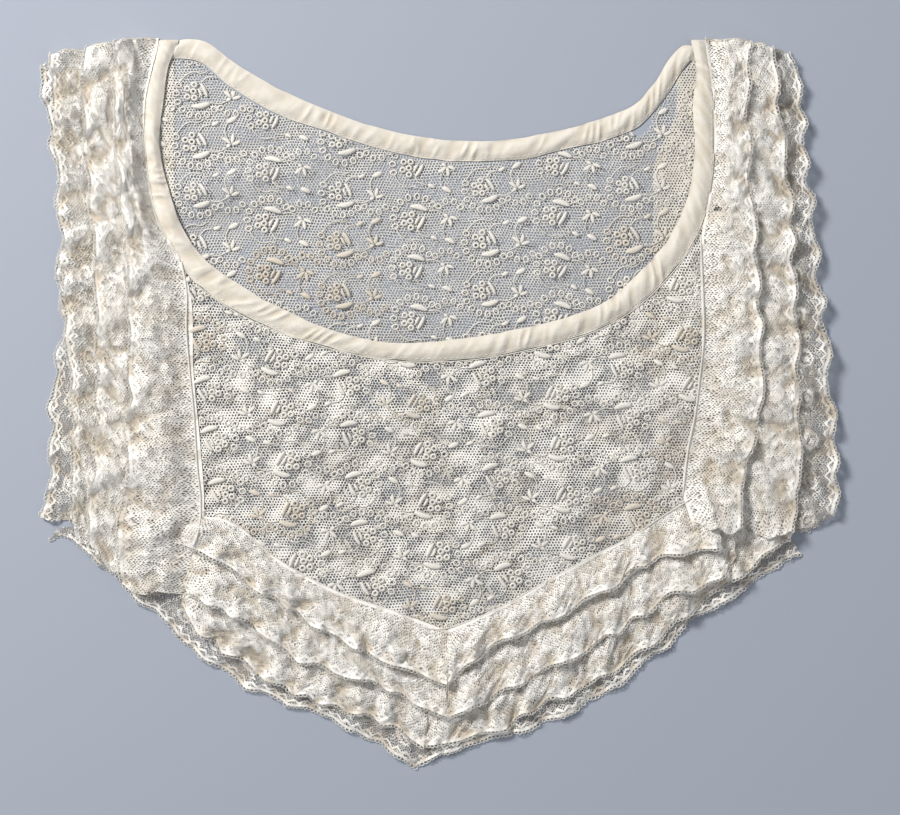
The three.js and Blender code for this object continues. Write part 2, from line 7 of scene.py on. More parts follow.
from __future__ import annotations

import logging
import math
from dataclasses import dataclass, field
from enum import Enum
from typing import Callable, Iterable, Sequence

import bmesh
import bpy
import numpy as np
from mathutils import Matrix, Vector
from mathutils.bvhtree import BVHTree

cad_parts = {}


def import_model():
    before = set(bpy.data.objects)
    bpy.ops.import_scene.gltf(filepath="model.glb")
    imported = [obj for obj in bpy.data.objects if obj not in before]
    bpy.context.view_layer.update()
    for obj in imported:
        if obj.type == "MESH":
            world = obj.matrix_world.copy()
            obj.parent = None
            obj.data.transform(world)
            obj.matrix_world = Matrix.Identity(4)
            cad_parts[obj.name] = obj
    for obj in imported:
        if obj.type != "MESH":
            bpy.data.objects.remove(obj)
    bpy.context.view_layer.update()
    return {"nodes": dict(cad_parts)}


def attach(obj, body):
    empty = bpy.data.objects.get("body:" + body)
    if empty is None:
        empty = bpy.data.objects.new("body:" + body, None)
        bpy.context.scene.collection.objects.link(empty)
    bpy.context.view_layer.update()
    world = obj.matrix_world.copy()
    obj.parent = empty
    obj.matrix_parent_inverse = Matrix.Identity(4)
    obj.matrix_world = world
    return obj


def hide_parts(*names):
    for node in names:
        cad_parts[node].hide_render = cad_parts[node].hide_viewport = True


log = logging.getLogger("lace_collar")

# Lengths below are in millimetres. The shift takes the guide lines to the frame's own origin.
MM = 0.001
FRAME_SHIFT = (-0.5788, -0.05)
SEAM_GAP = 0.6
UV_NAME = "cloth"
# The fold attribute is 0 in a valley and 1 on a crest; the finishes paint shade where it is low.
FOLD_NAME = "fold"
STAIN_NAME = "stain"
TURN_NAME = "turn"
BODY = "root"
FOLD_CLEARANCE = 0.3
SHOULDER_REACH = 1.8
SHOULDER_STEP = 1.2
RAY_HEIGHT = 100.0
TAU = 2.0 * math.pi

Points = np.ndarray
Colour = tuple[float, float, float]


class Slot(Enum):
    """The record's material slots."""

    NET = "net"
    LACE = "lace"
    BINDING = "binding"


class End(Enum):
    """How a gathered strip ends."""

    FOLDED = "over the shoulder"
    JOINED = "sewn to the next strip"
    RAW = "cut and frilled"
    OVER = "frilled and laid over its neighbour"


# ---- Guide lines of the cut, millimetres, before the frame's shift ----
FRONT_NECK_OPEN = [
    (-122, 168.4), (-125.5, 160.5), (-127.5, 151.5), (-130, 132.5), (-130, 113.5), (-126, 99.5),
    (-121.5, 85.5), (-113.5, 71.5), (-96.5, 57), (-64.5, 39.5), (-29, 28.5), (7.5, 29),
    (52.5, 37.5), (76.5, 45.5), (95, 60.5), (110, 78.5), (118, 97.5), (121, 118.5), (120, 135),
    (121.5, 153.5), (119.5, 168.4),
]
FRONT_NECK_SEAM = [
    (-131, 168.4), (-134, 159.5), (-137, 144.5), (-137.5, 128), (-135.5, 104.5), (-130.5, 84.5),
    (-120, 66), (-111.5, 55), (-88, 39.5), (-51, 26), (-19.5, 20), (16, 20.5), (52.5, 27.5),
    (76.5, 35), (95, 46.5), (114, 66.5), (123.5, 83), (129, 106.5), (129.5, 137), (129, 158.5),
    (127, 168.4),
]
BACK_NECK_OPEN = [
    (-119.5, 170), (-110, 169.5), (-96.5, 160), (-78.5, 149), (-51, 136.5), (-29, 129),
    (-10.5, 125), (7.5, 122.5), (25, 122.5), (43.5, 124.5), (61.5, 128.5), (76.5, 132.5), (93, 140),
    (102, 149.5), (109.5, 161.5), (115.5, 167.5),
]
BACK_NECK_SEAM = [
    (-119.5, 161.6), (-111.5, 159.8), (-97.5, 148.5), (-78.5, 137), (-51, 127), (-29, 120),
    (-10.5, 115.5), (7.5, 113.5), (25, 113.5), (43.5, 115), (61.5, 119.5), (76.5, 122.5),
    (95, 130.5), (107, 143.5), (114, 154.5), (119.5, 160.8),
]
FRONT_SIDES = [
    [(-151, 161.5), (-152, 142), (-150.5, 113.5), (-148, 85.5), (-146, 48), (-145.5, 1),
     (-147, -36.5), (-147.5, -67)],
    [(-147.5, -67), (-111.5, -93), (-88, -108), (-59, -123.5), (-29.5, -134.5), (-2.5, -144.5)],
    [(-2.5, -144.5), (29.5, -134.5), (57.5, -120), (86, -105), (114, -86.5), (141, -71.5)],
    [(141, -71.5), (152.5, -46), (154.5, 1), (151.5, 48), (149, 95), (146, 132.5), (144.5, 161.5)],
]
BACK_SIDES = [
    [(-159.5, 160.8), (-160, 132.5), (-158, 95), (-156.5, 48), (-157, 1), (-157.5, -36.5),
     (-155, -56.5)],
    [(-155, -56.5), (-125.5, -75), (-95, -101.5), (-62.5, -118.5), (-29.5, -131.5), (-6.5, -141)],
    [(-6.5, -141), (29.5, -130), (62.5, -114.5), (90.5, -97), (121, -75), (150, -55.5)],
    [(150, -55.5), (154.5, -18), (154, 48), (152, 95), (149.5, 132.5), (147.5, 160.8)],
]
BACK_TAILS = [((-126, 167.6), (-126.5, 161.4)), ((121.4, 167.0), (124.4, 157.6))]

# Shares of the neck line: where it meets the outline's corners, and what stays clear of each fold.
NECK_BREAKS = (0.4, 0.535, 0.66, 1.0)
SHOULDER_SHARE = 0.0145
# The first of the gathered strips lie on the back, under the front panel.
BACK_RUFFLES = 4
# The rip at the back neck seam: where it starts and ends, its rounded ends and how far it sags.
RIP_FROM = 90.5
RIP_TO = 99.5
RIP_SHOULDER = 1.2
RIP_DEPTH = 5.0

# Small frayed holes of the finishes: the middle and the radius of each, on its own cloth.
BACK_TEARS = ((-59.1, 42.7, 1.6), (-93.4, 127.8, 0.9))
LACE_TEARS = {"side_ruffle_right_inner": ((99.0, 4.2, 1.5),)}
# Where the back net lies double and is darkened with painted shade: beyond which x, on which side,
# and how far the line bends.
BACK_DOUBLED_AND_SHADED = ((100.7, 1.0, 11.0), (-124.5, -1.0, 0.0))


@dataclass(frozen=True)
class RuffleCut:
    """One gathered strip: its sewn header, its free edge and its waves, in millimetres.

    The waves' fields are how many there are, how far they lean along the strip, how deep they
    scallop the edge and where the first one starts. Their height is the frame's own.
    """

    name: str
    header: Sequence[tuple[float, float]]
    edge: Sequence[tuple[float, float]]
    waves: int
    lean: float
    scallop: float
    start: float
    ends: tuple[End, End] = (End.FOLDED, End.RAW)
    sheer: float = 0.0
    heading: float = 0.0


RUFFLES = [
    RuffleCut(
        "back_side_ruffle_left",
        [(-159.5, 163.2), (-160, 132.5), (-158, 95), (-156.5, 48), (-157, 1), (-157.5, -36.5),
         (-155, -56)],
        [(-185.5, 163.2), (-185.5, 151.5), (-183, 137), (-181, 121), (-178.5, 104.5), (-177, 89.5),
         (-176.5, 74), (-177.5, 55), (-175, 41), (-177.5, 19.5), (-180.5, 8), (-181, -13),
         (-182, -36.5), (-186, -58.3)],
        9, 0.01, 1.2, 0.2, (End.RAW, End.RAW), sheer=1.0),
    RuffleCut(
        "back_side_ruffle_right",
        [(147.5, 163.2), (149.5, 132.5), (152, 95), (154, 48), (154.5, -18), (150, -54.8)],
        [(163, 162.5), (165.5, 132.5), (168.5, 95), (171.5, 57.5), (174, 19.5), (176, -18),
         (177, -46), (173, -64)],
        8, -0.01, 0.8, 0.6, (End.RAW, End.RAW), sheer=1.0),
    RuffleCut(
        "back_hem_ruffle_left",
        [(-155, -57.4), (-125.5, -75), (-95, -101.5), (-62.5, -118.5), (-29.5, -131.5),
         (-6.8, -141)],
        [(-183, -60), (-169.5, -65.5), (-153, -81), (-135, -96), (-115.5, -114), (-86, -134.5),
         (-55, -146), (-27, -160.5), (-10.4, -171)],
        7, 0.01, 1.0, 0.1, (End.RAW, End.JOINED), sheer=1.0),
    RuffleCut(
        "back_hem_ruffle_right",
        [(-6.2, -141), (29.5, -130), (62.5, -114.5), (90.5, -97), (121, -75), (150, -56.2)],
        [(-9.6, -171), (1, -165), (29.5, -156.5), (57.5, -147.5), (83.5, -132.5), (104.5, -116.5),
         (123.5, -99), (147, -84.5), (173, -67.5)],
        7, -0.01, 1.0, 0.5, (End.JOINED, End.RAW), sheer=1.0),
    RuffleCut(
        "side_ruffle_left_outer",
        [(-152.5, 164), (-154, 142), (-152, 113.5), (-149, 85.5), (-147, 48), (-146, 1),
         (-147.5, -32), (-150, -55.5), (-153, -72.5)],
        [(-181, 164), (-180, 144.5), (-178.5, 123), (-176.5, 95), (-175.5, 71.5), (-174.5, 48),
         (-172.5, 24.5), (-171, 1), (-170.5, -22.5), (-171.5, -46), (-173.5, -60)],
        9, 0.06, 1.2, 0.3, sheer=0.5),
    RuffleCut(
        "side_ruffle_right_outer",
        [(146, 164), (147, 137), (149.5, 99.5), (152.5, 57.5), (155.5, 1), (156.5, -36.5),
         (155.5, -60)],
        [(165.5, 164), (169, 147.5), (171, 132.5), (172, 113.5), (174, 97.5), (176.5, 76),
         (178.5, 55), (180.5, 36), (182.5, 15), (185, -8.5), (186, -27.5), (186.5, -46),
         (183.5, -59)],
        10, 0.03, 1.6, 0.7, sheer=1.0),
    RuffleCut(
        "side_ruffle_left_middle",
        [(-139.5, 166.6), (-141.5, 137), (-139.5, 109), (-136, 81), (-133, 48), (-133, 1),
         (-134, -32), (-136.5, -60), (-140, -83.5)],
        [(-164.5, 166.6), (-165.5, 142), (-163.5, 113.5), (-161, 85.5), (-159, 48), (-159, 1),
         (-160.5, -32), (-162.5, -55.5), (-161.5, -74.5)],
        9, 0.06, 1.0, 0.0),
    RuffleCut(
        "side_ruffle_left_inner",
        [(-135.5, 169.2), (-138.8, 144.5), (-139.4, 128), (-137.4, 104.5), (-132.4, 84.5),
         (-122.4, 66), (-117.5, 48), (-116.5, 15), (-113, -22.5), (-111.5, -46), (-113, -67),
         (-118, -91)],
        [(-150, 169.2), (-151, 142), (-149, 113.5), (-145.5, 85.5), (-143.5, 48), (-143.5, 1),
         (-145, -36.5), (-148.5, -65), (-148, -88.5)],
        9, 0.06, 1.0, 0.5, heading=2.0),
    RuffleCut(
        "hem_ruffle_left_lower",
        [(-108.5, -90), (-88, -105), (-74, -113.5), (-43.5, -125), (-15.5, -135.5), (-4.2, -140)],
        [(-119.5, -96.5), (-109.5, -109.5), (-95, -119), (-67, -136.5), (-39, -145.5),
         (-17.5, -154), (-7, -162)],
        8, 0.03, 1.2, 0.2, (End.OVER, End.JOINED)),
    RuffleCut(
        "hem_ruffle_right_lower",
        [(-3.4, -140), (29.5, -130.5), (57.5, -116), (86, -101), (114, -79), (133, -65),
         (147, -55.5), (160, -48.5)],
        [(-6.2, -162), (29.5, -153), (43.5, -144), (71.5, -132), (102, -112), (123.5, -93),
         (137.5, -84.5), (146, -77.5), (156.5, -68), (169.5, -60.5)],
        9, -0.03, 1.2, 0.6, (End.JOINED, End.RAW)),
    RuffleCut(
        "hem_ruffle_left_middle",
        [(-109, -68.5), (-95, -74.5), (-81, -83.5), (-57.5, -101.5), (-41, -107), (-10.5, -118),
         (3.2, -123)],
        [(-115, -88.5), (-104.5, -95.5), (-88, -103.5), (-64.5, -120.5), (-43.5, -126.5),
         (-20, -135.5), (4, -147.5)],
        7, 0.03, 1.2, 0.8, (End.OVER, End.JOINED)),
    RuffleCut(
        "hem_ruffle_right_middle",
        [(4, -123), (29.5, -112), (57.5, -98), (86, -83.5), (97.5, -75), (111.5, -69.5),
         (122.5, -66), (136.5, -56.5)],
        [(4.8, -147.5), (29.5, -135.5), (53, -123.5), (78.5, -110.5), (100, -95.5), (114, -88),
         (126, -86), (140, -74.5)],
        7, -0.03, 1.2, 0.1, (End.JOINED, End.RAW)),
    RuffleCut(
        "hem_ruffle_left_upper",
        [(-109.5, -53.5), (-98.5, -55.5), (-90.5, -60), (-74, -74.5), (-46, -89.5), (-17.5, -99),
         (4, -107)],
        [(-116, -68), (-101.5, -74.5), (-88, -84.5), (-65.5, -99), (-43.5, -112), (-20, -122.5),
         (4, -131.5)],
        7, 0.03, 1.2, 0.4, (End.OVER, End.JOINED)),
    RuffleCut(
        "hem_ruffle_right_upper",
        [(4.8, -107), (29.5, -96.5), (57.5, -80.5), (76.5, -70.5), (90.5, -63.5), (106, -53),
         (116, -47), (128, -46.5)],
        [(4.8, -131.5), (20, -117.5), (48, -103.5), (78.5, -87.5), (97.5, -74.5), (114, -69.5),
         (125, -69), (135, -67)],
        7, -0.03, 1.2, 0.9, (End.JOINED, End.RAW)),
    RuffleCut(
        "side_ruffle_right_middle",
        [(133.5, 166.6), (133.5, 132.5), (136.5, 95), (139.5, 48), (142, 1), (141, -36.5),
         (140.5, -57)],
        [(157, 166.6), (159.5, 137), (163.5, 109), (165.5, 76), (167, 48), (168.5, 1), (169, -36.5),
         (166, -58)],
        9, 0.03, 1.0, 0.4, (End.FOLDED, End.OVER)),
    RuffleCut(
        "side_ruffle_right_inner",
        [(130, 169.2), (131.4, 137), (131.4, 113.5), (129, 95), (125.5, 76), (125.5, 48),
         (125.5, 20.5), (122, -6), (118.5, -23.5), (117, -44), (121, -54.5)],
        [(146, 169.2), (144.5, 137), (146, 95), (149, 62), (150.5, 29), (150, -4), (146, -22.5),
         (141, -41.5), (141, -55.5)],
        8, 0.03, 1.0, 0.2, (End.FOLDED, End.OVER), heading=1.9),
]


# ---- Lines and noise ----
class Line:
    """A smooth plan line through a few points, read by share of its length."""

    def __init__(self, knots: Sequence[tuple[float, float]], steps: int = 40) -> None:
        """Builds the line.

        Args:
            knots: Points that the line passes through, in millimetres.
            steps: How finely each stretch between two knots is divided.
        """
        points = np.array(knots, float)
        ends = np.vstack([2 * points[0] - points[1], points, 2 * points[-1] - points[-2]])
        spans = []
        for start in range(len(points) - 1):
            spans.append(self._span(*ends[start:start + 4], steps))
        self.points = np.vstack(spans + [points[-1:]])
        lengths = np.hypot(*np.diff(self.points, axis=0).T)
        self.arc = np.concatenate([[0.0], np.cumsum(lengths)])

    @staticmethod
    def _span(p0: Points, p1: Points, p2: Points, p3: Points, steps: int) -> Points:
        """One stretch of a centripetal spline, from p1 up to p2.

        Args:
            p0: Point before the stretch.
            p1: Its first point.
            p2: Its last point.
            p3: Point after the stretch.
            steps: How many points to give.

        Returns:
            The points, with p1 and without p2.
        """
        d0, d1, d2 = (math.sqrt(math.dist(a, b)) for a, b in ((p0, p1), (p1, p2), (p2, p3)))
        t1 = ((p1 - p0) / d0 - (p2 - p0) / (d0 + d1) + (p2 - p1) / d1) * d1
        t2 = ((p2 - p1) / d1 - (p3 - p1) / (d1 + d2) + (p3 - p2) / d2) * d1
        t = np.linspace(0, 1, steps, endpoint=False)[:, None]
        return p1 + t1 * t + (3 * (p2 - p1) - 2 * t1 - t2) * t**2 + (2 * (p1 - p2) + t1 + t2) * t**3

    @property
    def length(self) -> float:
        """Length of the line in millimetres."""
        return float(self.arc[-1])

    def at(self, shares: Points) -> Points:
        """Plan points at shares of the line's length."""
        along = np.clip(shares, 0, 1) * self.arc[-1]
        places = [np.interp(along, self.arc, self.points[:, axis]) for axis in (0, 1)]
        return np.stack(places, axis=-1)

    def beside(self, shares: Points, distance: Points | float) -> Points:
        """Points beside the line, to the right of its direction for a positive distance."""
        step = 0.002
        along = self.at(np.minimum(shares + step, 1)) - self.at(np.maximum(shares - step, 0))
        along /= np.linalg.norm(along, axis=-1, keepdims=True)
        right = np.stack([along[..., 1], -along[..., 0]], axis=-1)
        return self.at(shares) + right * np.asarray(distance)[..., None]


def smoothstep(value: Points, low: float, high: float) -> Points:
    """Rises smoothly from 0 at low to 1 at high."""
    t = np.clip((value - low) / (high - low), 0, 1)
    return t * t * (3 - 2 * t)


def soft_noise(x: Points, y: Points, seed: int) -> Points:
    """Smooth seeded noise from -1 to 1, with one bump for each unit of x and y.

    Args:
        x: First coordinate, in bumps.
        y: Second coordinate, in bumps.
        seed: Which pattern.

    Returns:
        The noise at each point.
    """
    size = 64
    lattice = np.random.default_rng(seed).uniform(-1, 1, (size, size))
    column, row = np.floor(x).astype(int), np.floor(y).astype(int)
    fx, fy = (smoothstep(value, 0, 1) for value in (x - column, y - row))
    corners = [lattice[(column + i) % size, (row + j) % size] for i in (0, 1) for j in (0, 1)]
    near = corners[0] * (1 - fy) + corners[1] * fy
    far = corners[2] * (1 - fy) + corners[3] * fy
    return near * (1 - fx) + far * fx


def blur(grid: Points, along: float, across: float) -> Points:
    """Evens a grid out.

    Args:
        grid: Values, one row of them for each column of the cloth.
        along: Spread along the cloth, in grid steps.
        across: Spread across it, in grid steps.

    Returns:
        The evened grid.
    """
    for axis, spread in ((0, along), (1, across)):
        if spread <= 0:
            continue
        reach = max(1, int(spread * 2.5))
        weights = np.exp(-0.5 * (np.arange(-reach, reach + 1) / spread) ** 2)
        weights /= weights.sum()
        pad = [(reach, reach) if axis == side else (0, 0) for side in (0, 1)]
        padded = np.pad(grid, pad, mode="edge")
        grid = np.apply_along_axis(np.convolve, axis, padded, weights, mode="valid")
    return grid


# ---- The frame's cloth, to measure against ----
class Stack:
    """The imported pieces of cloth, as surfaces that a plan point is measured against."""

    def __init__(self, nodes: dict[str, bpy.types.Object]) -> None:
        """Builds a search tree for each node and keeps the faces of all of them."""
        self.trees: dict[str, BVHTree] = {}
        self.faces: dict[str, tuple[list[Vector], list[tuple[int, ...]]]] = {}
        self.laid_points: list[Vector] = []
        self.laid_faces: list[tuple[int, ...]] = []
        self.laid: BVHTree | None = None
        for name, node in nodes.items():
            points = [vertex.co / MM for vertex in node.data.vertices]
            polygons = [tuple(polygon.vertices) for polygon in node.data.polygons]
            self.faces[name] = (points, polygons)
            self.trees[name] = BVHTree.FromPolygons(points, polygons)

    def cover(self, without: set[str]) -> BVHTree:
        """A search tree of every node but those named."""
        points: list[Vector] = []
        polygons: list[tuple[int, ...]] = []
        for name, (some, faces) in self.faces.items():
            if name not in without:
                polygons += [tuple(index + len(points) for index in face) for face in faces]
                points += some
        return BVHTree.FromPolygons(points, polygons)

    def wall(self, name: str, plan: Points) -> tuple[Points, Points]:
        """Underside and top of a node's wall over a grid of plan points.

        Args:
            name: The node.
            plan: Plan points, columns by rows by two, in the frame's millimetres.

        Returns:
            Heights of the underside and of the top, each columns by rows.
        """
        tree = self.trees[name]
        levels = []
        for start, direction in ((-RAY_HEIGHT, 1.0), (RAY_HEIGHT, -1.0)):
            level = np.full(plan.shape[:2], np.nan)
            for index in np.ndindex(level.shape):
                hit = tree.ray_cast(Vector((*plan[index], start)), Vector((0, 0, direction)))[0]
                if hit is not None:
                    level[index] = hit.z
            levels.append(self._mended(level))
        return levels[0], levels[1]

    def lay(self, piece: bpy.types.Object) -> None:
        """Adds a finished sheet to those that the next ones lie on."""
        start = len(self.laid_points)
        self.laid_points += [vertex.co / MM for vertex in piece.data.vertices]
        self.laid_faces += [
            tuple(index + start for index in polygon.vertices) for polygon in piece.data.polygons
        ]
        self.laid = BVHTree.FromPolygons(self.laid_points, self.laid_faces)

    def ground(self, plan: Points) -> Points:
        """Height of the top of the finished sheets at plan points, and 0 beside them.

        Args:
            plan: Plan points, in any grid, in the frame's millimetres.

        Returns:
            The heights.
        """
        level = np.zeros(plan.shape[:-1])
        if self.laid is None:
            return level
        down = Vector((0, 0, -1.0))
        for index in np.ndindex(level.shape):
            hit = self.laid.ray_cast(Vector((*plan[index][:2], RAY_HEIGHT)), down)[0]
            if hit is not None:
                level[index] = hit.z
        return level

    @staticmethod
    def _mended(level: Points) -> Points:
        """A grid whose gaps take the nearest value, first across and then along the cloth."""
        level = level.copy()
        for grid in (level, level.T):
            for line in grid:
                known = np.flatnonzero(~np.isnan(line))
                if 0 < len(known) < len(line):
                    line[:] = np.interp(np.arange(len(line)), known, line[known])
        return level

    def headroom(self, name: str, grid: Points, most: float) -> Points:
        """Clear height above each point of a grid, up to the pieces that lie on it.

        Args:
            name: The grid's own node, which is left out.
            grid: Points, columns by rows by three, in the frame's millimetres.
            most: The answer where nothing lies above.

        Returns:
            The clear heights, evened so that they change slowly.
        """
        tree = self.cover({name})
        room = np.full(grid.shape[:2], most)
        for index in np.ndindex(room.shape):
            hit = tree.ray_cast(Vector(grid[index]), Vector((0, 0, 1.0)), most)
            if hit[0] is not None:
                room[index] = hit[3]
        least = room.copy()
        for _ in range(2):
            for axis in (0, 1):
                for step in (-1, 1):
                    least = np.minimum(least, np.roll(least, step, axis))
        return np.minimum(room, blur(least, 2, 1))


# ---- Shader and geometry trees ----
class Value:
    """A number that varies over a surface. An expression on it adds Math nodes."""

    def __init__(self, graph: "Graph", socket: bpy.types.NodeSocket) -> None:
        """Wraps a socket of a graph."""
        self.graph = graph
        self.socket = socket

    def _math(
        self, operation: str, *others: "Value | float", first: "Value | float | None" = None
    ) -> "Value":
        """Adds a Math node whose first number is this one, unless another is given."""
        numbers = [self if first is None else first, *others]
        settings = {"operation": operation}
        return self.graph.value("ShaderNodeMath", settings, dict(enumerate(numbers)))

    def __add__(self, other: "Value | float") -> "Value":
        """Sum."""
        return self._math("ADD", other)

    def __radd__(self, other: float) -> "Value":
        """Sum with a number on the left."""
        return self._math("ADD", other)

    def __sub__(self, other: "Value | float") -> "Value":
        """Difference."""
        return self._math("SUBTRACT", other)

    def __rsub__(self, other: float) -> "Value":
        """Difference with a number on the left."""
        return self._math("SUBTRACT", self, first=other)

    def __mul__(self, other: "Value | float") -> "Value":
        """Product."""
        return self._math("MULTIPLY", other)

    def __rmul__(self, other: float) -> "Value":
        """Product with a number on the left."""
        return self._math("MULTIPLY", other)

    def __truediv__(self, other: "Value | float") -> "Value":
        """Quotient."""
        return self._math("DIVIDE", other)

    def fract(self) -> "Value":
        """Part after the point."""
        return self._math("FRACT")

    def root(self) -> "Value":
        """Square root."""
        return self._math("SQRT")

    def sine(self) -> "Value":
        """Sine, for radians."""
        return self._math("SINE")

    def size(self) -> "Value":
        """Value without its sign."""
        return self._math("ABSOLUTE")

    def least(self, other: "Value | float") -> "Value":
        """The smaller of two."""
        return self._math("MINIMUM", other)

    def most(self, other: "Value | float") -> "Value":
        """The larger of two."""
        return self._math("MAXIMUM", other)

    def rise(self, low: float, high: float) -> "Value":
        """Rises smoothly from 0 at low to 1 at high."""
        return self.graph.value(
            "ShaderNodeMapRange",
            {"interpolation_type": "SMOOTHSTEP"},
            {"Value": self, "From Min": low, "From Max": high, "To Min": 0.0, "To Max": 1.0},
        )


Input = Value | bpy.types.NodeSocket | float | int | tuple | bpy.types.Object | bpy.types.Material


class Graph:
    """Adds nodes to a shader or geometry tree."""

    def __init__(self, tree: bpy.types.NodeTree) -> None:
        """Takes the tree to add to."""
        self.tree = tree

    def node(
        self,
        kind: str,
        settings: dict[str, object] | None = None,
        inputs: dict[str | int, Input] | None = None,
    ) -> bpy.types.Node:
        """Adds a node.

        Args:
            kind: The node's type.
            settings: Its own settings, which are set first.
            inputs: Values or links of its sockets, by name or number.

        Returns:
            The node.
        """
        node = self.tree.nodes.new(kind)
        for name, setting in (settings or {}).items():
            setattr(node, name, setting)
        for key, value in (inputs or {}).items():
            socket = node.inputs[key] if isinstance(key, int) else self.pick(node.inputs, key)
            if isinstance(value, Value):
                self.tree.links.new(value.socket, socket)
            elif isinstance(value, bpy.types.NodeSocket):
                self.tree.links.new(value, socket)
            else:
                socket.default_value = value
        return node

    @staticmethod
    def pick(sockets: Iterable[bpy.types.NodeSocket], name: str) -> bpy.types.NodeSocket:
        """The socket of that name which is in use."""
        return next(socket for socket in sockets if socket.name == name and socket.enabled)

    def value(
        self,
        kind: str,
        settings: dict[str, object] | None = None,
        inputs: dict[str | int, Input] | None = None,
        output: str | None = None,
    ) -> Value:
        """Adds a node and gives one of its outputs, the first in use unless one is named."""
        node = self.node(kind, settings, inputs)
        if output is None:
            return Value(self, next(socket for socket in node.outputs if socket.enabled))
        return Value(self, self.pick(node.outputs, output))

    def mix(self, share: Input, first: Input, second: Input) -> Value:
        """A colour between two others."""
        inputs: dict[str | int, Input] = {"Factor": share}
        for label, colour in (("A", first), ("B", second)):
            plain = isinstance(colour, tuple) and len(colour) == 3
            inputs[label] = (*colour, 1.0) if plain else colour
        return self.value("ShaderNodeMix", {"data_type": "RGBA"}, inputs)


class Surface(Graph):
    """The tree of one material, with the patterns that the collar's cloths share."""

    FRAY = 0.9
    TEAR_EDGE = 0.1

    def __init__(self, name: str) -> None:
        """Starts an empty material."""
        self.material = bpy.data.materials.new(name)
        self.material.use_nodes = True
        super().__init__(self.material.node_tree)
        self.tree.nodes.clear()

    def cloth_place(self) -> tuple[Value, Value]:
        """Distances along and across the cloth, in millimetres, from its own map."""
        place = self.value("ShaderNodeUVMap", {"uv_map": UV_NAME})
        split = self.node("ShaderNodeSeparateXYZ", None, {0: place})
        return Value(self, split.outputs["X"]) / MM, Value(self, split.outputs["Y"]) / MM

    def attribute(self, name: str) -> Value:
        """A number that the piece's mesh carries."""
        return self.value("ShaderNodeAttribute", {"attribute_name": name}, None, "Fac")

    def noise(self, x: Value, y: Value, wavelength: float, detail: float = 2.0) -> Value:
        """Noise from about 0 to 1 with one bump for each wavelength, in millimetres."""
        place = self.value("ShaderNodeCombineXYZ", None, {"X": x / wavelength, "Y": y / wavelength})
        return self.value(
            "ShaderNodeTexNoise", {"noise_dimensions": "2D"},
            {"Vector": place, "Scale": 1.0, "Detail": detail, "Roughness": 0.55},
        )

    def mesh_distance(self, x: Value, y: Value, pitch: float) -> Value:
        """Distance from the middle of the nearest hole of a hexagonal net, in pitches."""
        long = math.sqrt(3)
        squares = []
        for offset in (0.0, 0.5):
            dx = (x / pitch + offset).fract() - 0.5
            dy = ((y / (pitch * long) + offset).fract() - 0.5) * long
            squares.append(dx * dx + dy * dy)
        return squares[0].least(squares[1]).root()

    @staticmethod
    def torn(x: Value, y: Value, fray: Value, tear: tuple[float, float, float]) -> Value:
        """0 inside a small frayed hole, given by its middle and its radius, and 1 outside."""
        middle_x, middle_y, radius = tear
        away = ((x - middle_x) * (x - middle_x) + (y - middle_y) * (y - middle_y)).root()
        ragged = away + (fray - 0.5) * Surface.FRAY
        return ragged.rise(radius - Surface.TEAR_EDGE, radius + Surface.TEAR_EDGE)

    def finish(
        self, colour: Value, roughness: Input, height: Value, depth: float,
        alpha: Value | None = None, sheen: float = 0.25,
    ) -> bpy.types.Material:
        """Ends the tree in a cloth shader.

        Args:
            colour: Colour of the cloth.
            roughness: Its roughness.
            height: Fine relief, from 0 to 1.
            depth: What a relief of 1 stands for, in millimetres.
            alpha: 0 in the holes and 1 on thread, or nothing on close cloth.
            sheen: Weight of the soft sheen at grazing angles.

        Returns:
            The material.
        """
        relief: dict[str | int, Input] = {"Strength": 1.0, "Distance": depth * MM, "Height": height}
        bump = self.node("ShaderNodeBump", None, relief)
        inputs: dict[str | int, Input] = {
            "Base Color": colour, "Roughness": roughness, "Normal": bump.outputs[0],
            "Sheen Weight": sheen, "Sheen Roughness": 0.5, "Specular IOR Level": 0.25,
        }
        if alpha is not None:
            inputs["Alpha"] = alpha
        shader = self.node("ShaderNodeBsdfPrincipled", None, inputs)
        self.node("ShaderNodeOutputMaterial", None, {"Surface": shader.outputs[0]})
        return self.material


